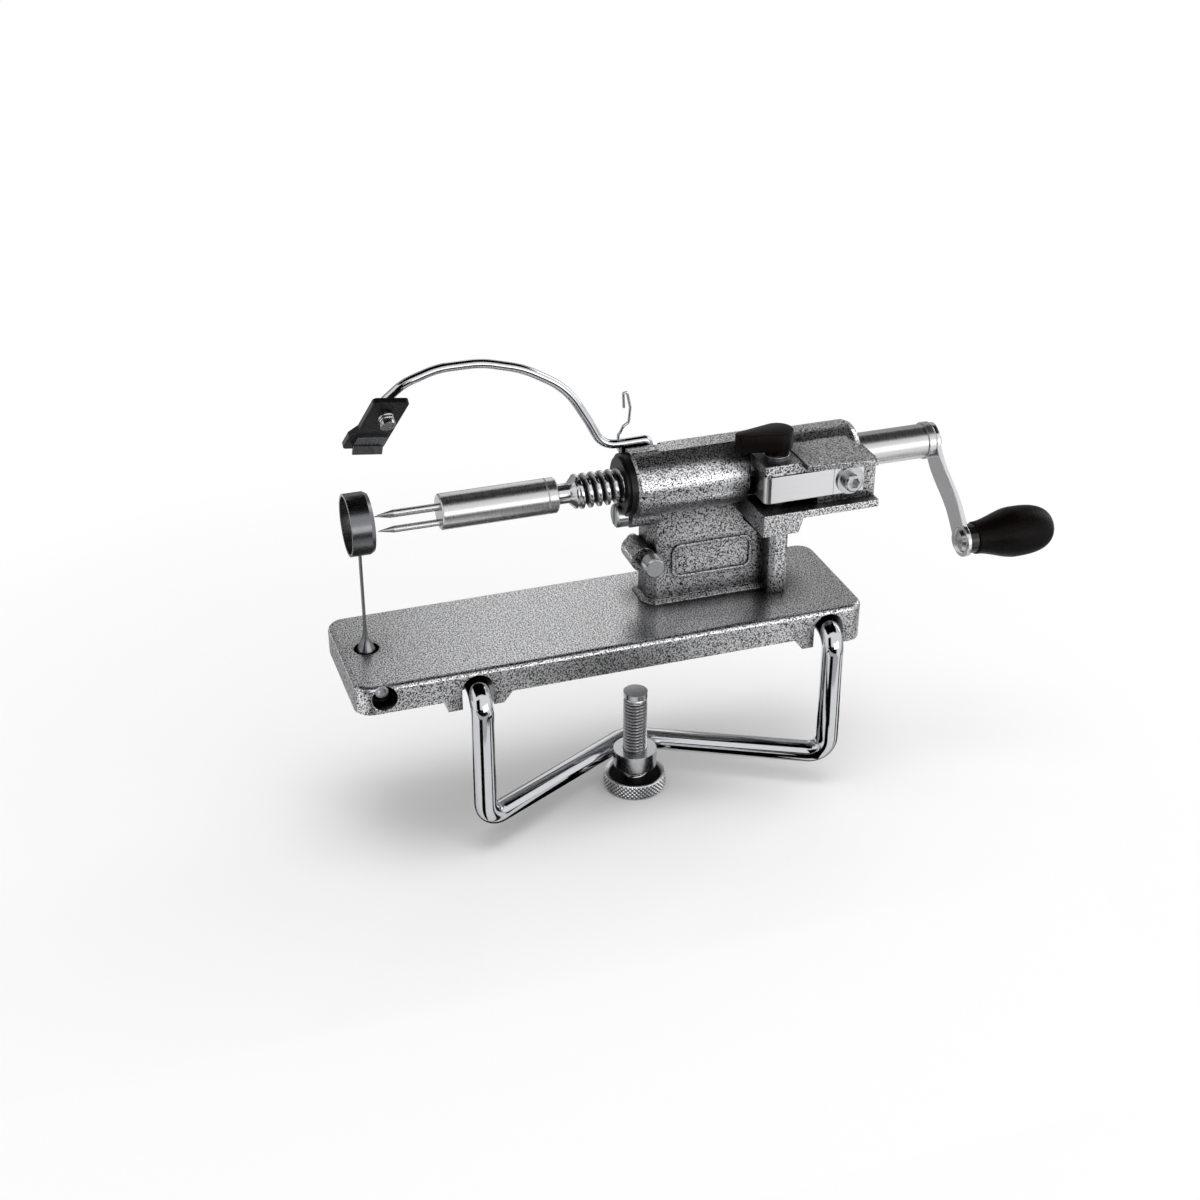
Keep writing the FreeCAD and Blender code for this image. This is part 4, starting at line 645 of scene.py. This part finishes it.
def round_crest(phase):
    """0 in the groove to 1 on the crest: a raised cosine with a slightly flattened top."""
    wave = 0.5 + 0.5 * np.cos(2 * np.pi * phase)
    return np.clip(1.25 * wave, 0, 1) ** 0.9


def sharp_crest(phase):
    """0 in the groove to 1 on the crest: straight flanks, with flats as on a metric thread."""
    return np.clip(1.3 * (1 - np.abs(2 * (phase % 1.0) - 1)) - 0.15, 0, 1)


print("a quarter pitch from a round crest:", round(float(round_crest(0.25)), 2))

# %% [markdown]
# ## The feed screw
# The finger of the leaf rides in its groove, 3.5 mm from turn to turn. A finger
# would wear a sharp thread, so the crests are rounded.

# %% Wind the feed screw
FEED_PITCH, FEED_DEPTH, FEED_SIDES = 3.5, 1.8, 56
FEED_START, FEED_END = 48.6, 152.4
feed_along = np.array([25.0, 41.19, 41.2, 46.3, 46.4, 48.1, 49.1, 152.99, 153.0, 202.0])
feed_radius = np.array([5.3, 5.3, 4.0, 4.0, 4.05, 5.8, 6.95, 6.95, 5.0, 5.0])
along, radius, cut = wound_bar(feed_along, feed_radius, FEED_START, FEED_END, FEED_PITCH,
                               FEED_DEPTH, round_crest, FEED_SIDES)
grid = spun(along, radius, (0, 0, SPINDLE_HEIGHT), "x", FEED_SIDES)
fit(surface("feed_thread", grid, cut=cut), feed_steel, "spindle", "feed_screw")

# %% [markdown]
# ## The clamp screw
# A 10 mm metric thread: 1.5 mm from turn to turn and 0.92 mm deep. It starts above
# the wheel, where the bar is plain, and ends in a short cone under the pad.

# %% Cut the clamp screw
STUD_PITCH, STUD_DEPTH, STUD_SIDES = 1.5, 0.92, 40
stud_centre = centre_of("clamp_screw")
stud_low, stud_high = [corner.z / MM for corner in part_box("clamp_screw")]
stud_along = np.array([stud_low, stud_low + 4.4, stud_high - 1.0, stud_high])
stud_radius = np.array([4.95, 4.95, 4.95, 4.0])
along, radius, cut = wound_bar(stud_along, stud_radius, stud_low + 4.6, stud_high - 0.2,
                               STUD_PITCH, STUD_DEPTH, sharp_crest, STUD_SIDES)
grid = spun(along, radius, stud_centre, "z", STUD_SIDES)
fit(surface("clamp_thread", grid, cut=cut), stud_steel, "clamp_screw_body", "clamp_screw")

# %% [markdown]
# ## The knurled wheel
# A knurling tool rolls two sets of slanting grooves into the rim, and fingers
# grip the small pyramids between them. The depth is 0 in the middle of a pyramid
# and rises as a square towards the nearest groove of either set, so a groove is
# a narrow line painted dark as painted shade, between broad faces painted bright
# as painted highlight. The dish on top is painted dark as well, as a painted reflection.

# %% Roll the knurl
WHEEL_RADIUS = 13.0
CHAMFER = 0.6
DISH = 1.4
BORE_RADIUS = 5.05
CELLS = 44
CELL_HEIGHT = 1.9
KNURL_DEPTH = 0.55
POINTS_PER_CELL = 8
wheel_low, wheel_high = [corner.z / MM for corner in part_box("clamp_wheel")]
rim_z = np.arange(wheel_low + 0.5, wheel_high - 0.45, CELL_HEIGHT / POINTS_PER_CELL)
dish_floor = wheel_high - DISH
# Height and radius from the lower chamfer over the rim, then across the dish to the bore.
ring_z = np.concatenate([[wheel_low], rim_z, [wheel_high, wheel_high, dish_floor, dish_floor,
                                              wheel_low + 1.0]])
ring_r = np.concatenate([[WHEEL_RADIUS - CHAMFER], np.full(rim_z.size, WHEEL_RADIUS),
                         [WHEEL_RADIUS - CHAMFER, WHEEL_RADIUS - 1.4, WHEEL_RADIUS - 2.6,
                          BORE_RADIUS, BORE_RADIUS]])
on_rim = (ring_r == WHEEL_RADIUS).astype(float)[:, None]
around = CELLS * np.linspace(0, 1, CELLS * POINTS_PER_CELL, endpoint=False)
up = (ring_z / CELL_HEIGHT)[:, None]
groove = np.maximum(np.abs(2 * ((around + up) % 1.0) - 1), np.abs(2 * ((around - up) % 1.0) - 1))
cut = on_rim * groove ** 2
# The dish is given the dark groove colour: a painted dark reflection.
painted_dark_dish = (ring_r < WHEEL_RADIUS - 2.0).astype(float)[:, None]
grid = spun(ring_z, ring_r[:, None] - KNURL_DEPTH * cut, stud_centre, "z",
            CELLS * POINTS_PER_CELL)
fit(surface("knurled_wheel", grid, sharp_degrees=25, cut=np.maximum(cut, painted_dark_dish)),
    knurled_steel, "clamp_screw_body", "clamp_wheel")

# %% [markdown]
# ## The grip
# A pear of lacquered beech: a neck that swells into a belly, then a blunt round
# end. The pin it turns on sits in a deep hole from the crank's side. The radius is
# a smoothstep from neck to belly, times a superellipse that closes the end.

# %% Turn the grip
NECK = 6.7
BELLY = 10.4
END_POWER = 2.8
HOLE_DEPTH, HOLE_RADIUS = 31.6, 3.06
grip_low, grip_high = [corner.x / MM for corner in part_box("handle_grip")]
pear_low, pear_high = grip_low + 0.5, grip_high - 2.9
share = np.sin(np.linspace(0, np.pi / 2, 56))
swell = np.clip(share / 0.5, 0, 1)
tail = np.clip((share - 0.5) / 0.5, 0, 1)
pear = (NECK + (BELLY - NECK) * smooth(swell)) * (1 - tail ** END_POWER) ** (1 / END_POWER)
grip_along = np.concatenate([[grip_low + HOLE_DEPTH, grip_low + HOLE_DEPTH, grip_low, grip_low],
                             pear_low + share * (pear_high - pear_low)])
grip_radius = np.concatenate([[0.0, HOLE_RADIUS, HOLE_RADIUS, NECK - 0.6], pear])
grid = spun(grip_along, grip_radius, centre_of("handle_grip"), "x")
fit(surface("turned_grip", grid), lacquer, "grip", "handle_grip")

# %% [markdown]
# The pin's collar behind the grip is black too, while its riveted dome shines.
# One material covers both, with the change at the outer face of the crank.

# %% The pin with its black collar
COLLAR_FROM_MM = 207.1
pin_steel, tree, shader = start_material("riveted_pin_with_black_collar")
place = add(tree, "ShaderNodeTexCoord")
split = add(tree, "ShaderNodeSeparateXYZ", {}, {0: place.outputs["Object"]})
collar = add(tree, "ShaderNodeMath", {"operation": "GREATER_THAN", 1: COLLAR_FROM_MM * MM},
             {0: split.outputs["X"]})
coat = add(tree, "ShaderNodeValToRGB", {}, {"Fac": collar.outputs[0]})
coat.color_ramp.elements[0].color = linear("#C6C7C9")
coat.color_ramp.elements[1].color = linear("#0D0B0A")
metal = add(tree, "ShaderNodeMath", {"operation": "SUBTRACT", 0: 1.0}, {1: collar.outputs[0]})
tree.links.new(coat.outputs["Color"], shader.inputs["Base Color"])
tree.links.new(metal.outputs[0], shader.inputs["Metallic"])
shader.inputs["Roughness"].default_value = 0.24
dress(frame["nodes"]["handle_pin"], pin_steel)
print("the pin turns black from x, mm:", COLLAR_FROM_MM)

# %% [markdown]
# ## The release knob
# From above it is a teardrop; from the side a slab with upright walls and a
# faintly domed top. Its outline is a string pulled round two discs, a big one on
# the shaft and a small one at the tip: for each outward direction the point lies
# on whichever disc reaches further that way.

# %% Mould the release knob
BODY_RADIUS = 6.2
TIP_RADIUS = 2.6
TIP_AWAY = 15.0
STEM_RADIUS = 4.9
TOP_INSET = 1.0
DOME_RISE = 0.7
knob_x, knob_y, _ = centre_of("cam_washer")
knob_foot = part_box("cam_knob")[0].z / MM
turn = full_turn(128)
on_tip = TIP_RADIUS - TIP_AWAY * np.cos(turn) > BODY_RADIUS
disc_x = np.where(on_tip, -TIP_AWAY, 0.0)
disc_r = np.where(on_tip, TIP_RADIUS, BODY_RADIUS)
# The wall: how far each ring is drawn in from the outline, and its height over the foot.
inset = np.array([0.7, 0.15, 0.0, 0.0, 0.12, 0.5, TOP_INSET])
wall_z = np.array([2.3, 2.4, 2.7, 9.2, 9.45, 9.6, 9.65])
# The dome shrinks the top ring towards its discs' centres, as a parabola.
dome = np.linspace(0.2, 1.0, 6)
dome_r = np.maximum(disc_r - TOP_INSET, 0)
dome_z = [wall_z[-1] + DOME_RISE * (dome_r / BODY_RADIUS) * (1 - (1 - t) ** 2) for t in dome]
rings = ([(0 * disc_x, np.full(turn.size, r), z) for r, z in
          ((0.0, 0.0), (STEM_RADIUS, 0.0), (STEM_RADIUS, wall_z[0]))]
         + [(disc_x, disc_r - i, z) for i, z in zip(inset, wall_z)]
         + [(disc_x, dome_r * (1 - t), z) for t, z in zip(dome, dome_z)])
grid = np.stack([np.stack([knob_x + x + r * np.cos(turn), knob_y + r * np.sin(turn),
                           knob_foot + z + 0 * turn], axis=-1) for x, r, z in rings])
fit(surface("release_lever", grid, sharp_degrees=50), phenolic, "release_knob", "cam_knob")

# %% [markdown]
# ## The slicing blade
# Its round foot sits deep in the base, then a cone draws in to a narrow strip.
# Each level is a superellipse: power 2 is round, and a high power is square, so
# one surface runs from the foot to the strip. Because the cone is slimmer than
# the hole, a dark ring of hole shows round it.

# %% Forge the slicing blade
level_z = np.array([5.0, 5.0, 11.5, 12.5, 15.0, 17.0, 19.0, 21.0, 24.0, 30.0, 57.9])[:, None]
half_x = np.array([0.0, 4.95, 4.95, 4.1, 4.0, 3.1, 2.0, 1.1, 0.6, 0.4, 0.4])[:, None]
half_y = np.array([0.0, 4.95, 4.95, 4.1, 4.0, 3.4, 2.7, 2.1, 1.8, 1.6, 1.6])[:, None]
power = np.array([2.0, 2.0, 2.0, 2.0, 2.0, 2.3, 3.0, 4.0, 6.0, 8.0, 8.0])[:, None]


def squared(wave, power):
    """A sine or cosine bent towards a square: its sign times its size to the 2 / power."""
    return np.sign(wave) * np.abs(wave) ** (2 / power)


turn = full_turn(48)
blade_x = centre_of("slicing_blade")[0]
grid = np.stack([blade_x + half_x * squared(np.cos(turn), power),
                 half_y * squared(np.sin(turn), power), level_z + 0 * turn], axis=-1)
fit(surface("forged_blade", grid, sharp_degrees=35), blade_steel, "frame", "slicing_blade")

# %% [markdown]
# ## The blade's set screw
# A headless screw with a six-sided socket, sunk 5 mm into the front of the base.
# A hexagon's radius at any angle is its half width over the cosine of the angle
# to the nearest flat's middle.

# %% Sink the set screw
SOCKET_HALF_WIDTH = 1.5
SOCKET_DEPTH = 2.0
SCREW_RADIUS = 2.95
MOUTH_RADIUS = 2.6
INNER_END = -5.0
set_centre = centre_of("blade_set_screw")
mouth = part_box("blade_set_screw")[0].y / MM + 2.2
turn = full_turn(48)
hexagon = SOCKET_HALF_WIDTH / np.cos((turn % (np.pi / 3)) - np.pi / 6)
screw_along = [mouth + SOCKET_DEPTH, mouth + SOCKET_DEPTH, mouth, mouth, mouth + 0.3,
               INNER_END, INNER_END]
screw_rings = [0.0 * hexagon, hexagon, hexagon]
screw_rings += [np.full(turn.size, r) for r in (MOUTH_RADIUS, SCREW_RADIUS, SCREW_RADIUS, 0)]
grid = spun(screw_along, np.stack(screw_rings), set_centre, "y", turn.size)
fit(surface("socket_set_screw", grid), zinc, "frame", "blade_set_screw")

# %% [markdown]
# ## The crank
# A strip of steel with round ends, set over by 3 mm in one long easy bend. Its
# half width follows the end discs until the straight edges take over, and its
# offset follows a smoothstep along the strip.

# %% Lay out the crank's strip
REACH = 43.2
EYE = 7.0
HALF_WIDTH = 5.6
SET_OVER = 3.0
BEND_FROM, BEND_LENGTH = 8.0, 24.0
TIP_HALF_WIDTH = 0.02
meet = math.sqrt(EYE ** 2 - HALF_WIDTH ** 2)
end_rows = -EYE * np.cos(np.linspace(0, math.acos(-meet / EYE), 18))
far_rows = REACH - end_rows[::-1]
down = np.concatenate([end_rows, np.linspace(meet, REACH - meet, 30)[1:-1], far_rows])
from_eye = np.minimum(np.abs(down) * (down < meet) + np.abs(down - REACH) * (down >= meet), EYE)
round_part = np.sqrt(np.maximum(EYE ** 2 - from_eye ** 2, TIP_HALF_WIDTH ** 2))
width = np.where((down > meet) & (down < REACH - meet), HALF_WIDTH, round_part)[:, None]
offset = SET_OVER * smooth(np.clip((down - BEND_FROM) / BEND_LENGTH, 0, 1))[:, None]
print("rows along the crank:", down.size)

# %% [markdown]
# The strip's section is an oblong with its corners broken by 0.35 mm. Eight points
# go round it: each has a side, a place across the width and one in the thickness.

# %% Bend the crank
TILT = math.radians(39.0)
STRIP = 2.0
BREAK = 0.35
crank_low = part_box("crank_arm")[0].x / MM
side = np.array([-1, -1, -1, 1, 1, 1, 1, -1])
inward = np.array([0, 0, 1, 1, 0, 0, 1, 1])
across = side * (width - np.minimum(BREAK, width / 2) * inward)
thick = np.array([BREAK, STRIP - BREAK, STRIP, STRIP, STRIP - BREAK, BREAK, 0.0, 0.0])
grid = np.stack([crank_low + offset + thick + 0 * across,
                 -down[:, None] * math.sin(TILT) + across * math.cos(TILT),
                 SPINDLE_HEIGHT - down[:, None] * math.cos(TILT) - across * math.sin(TILT)],
                axis=-1)
fit(surface("bent_crank", grid, sharp_degrees=30), strip_steel, "spindle", "crank_arm")
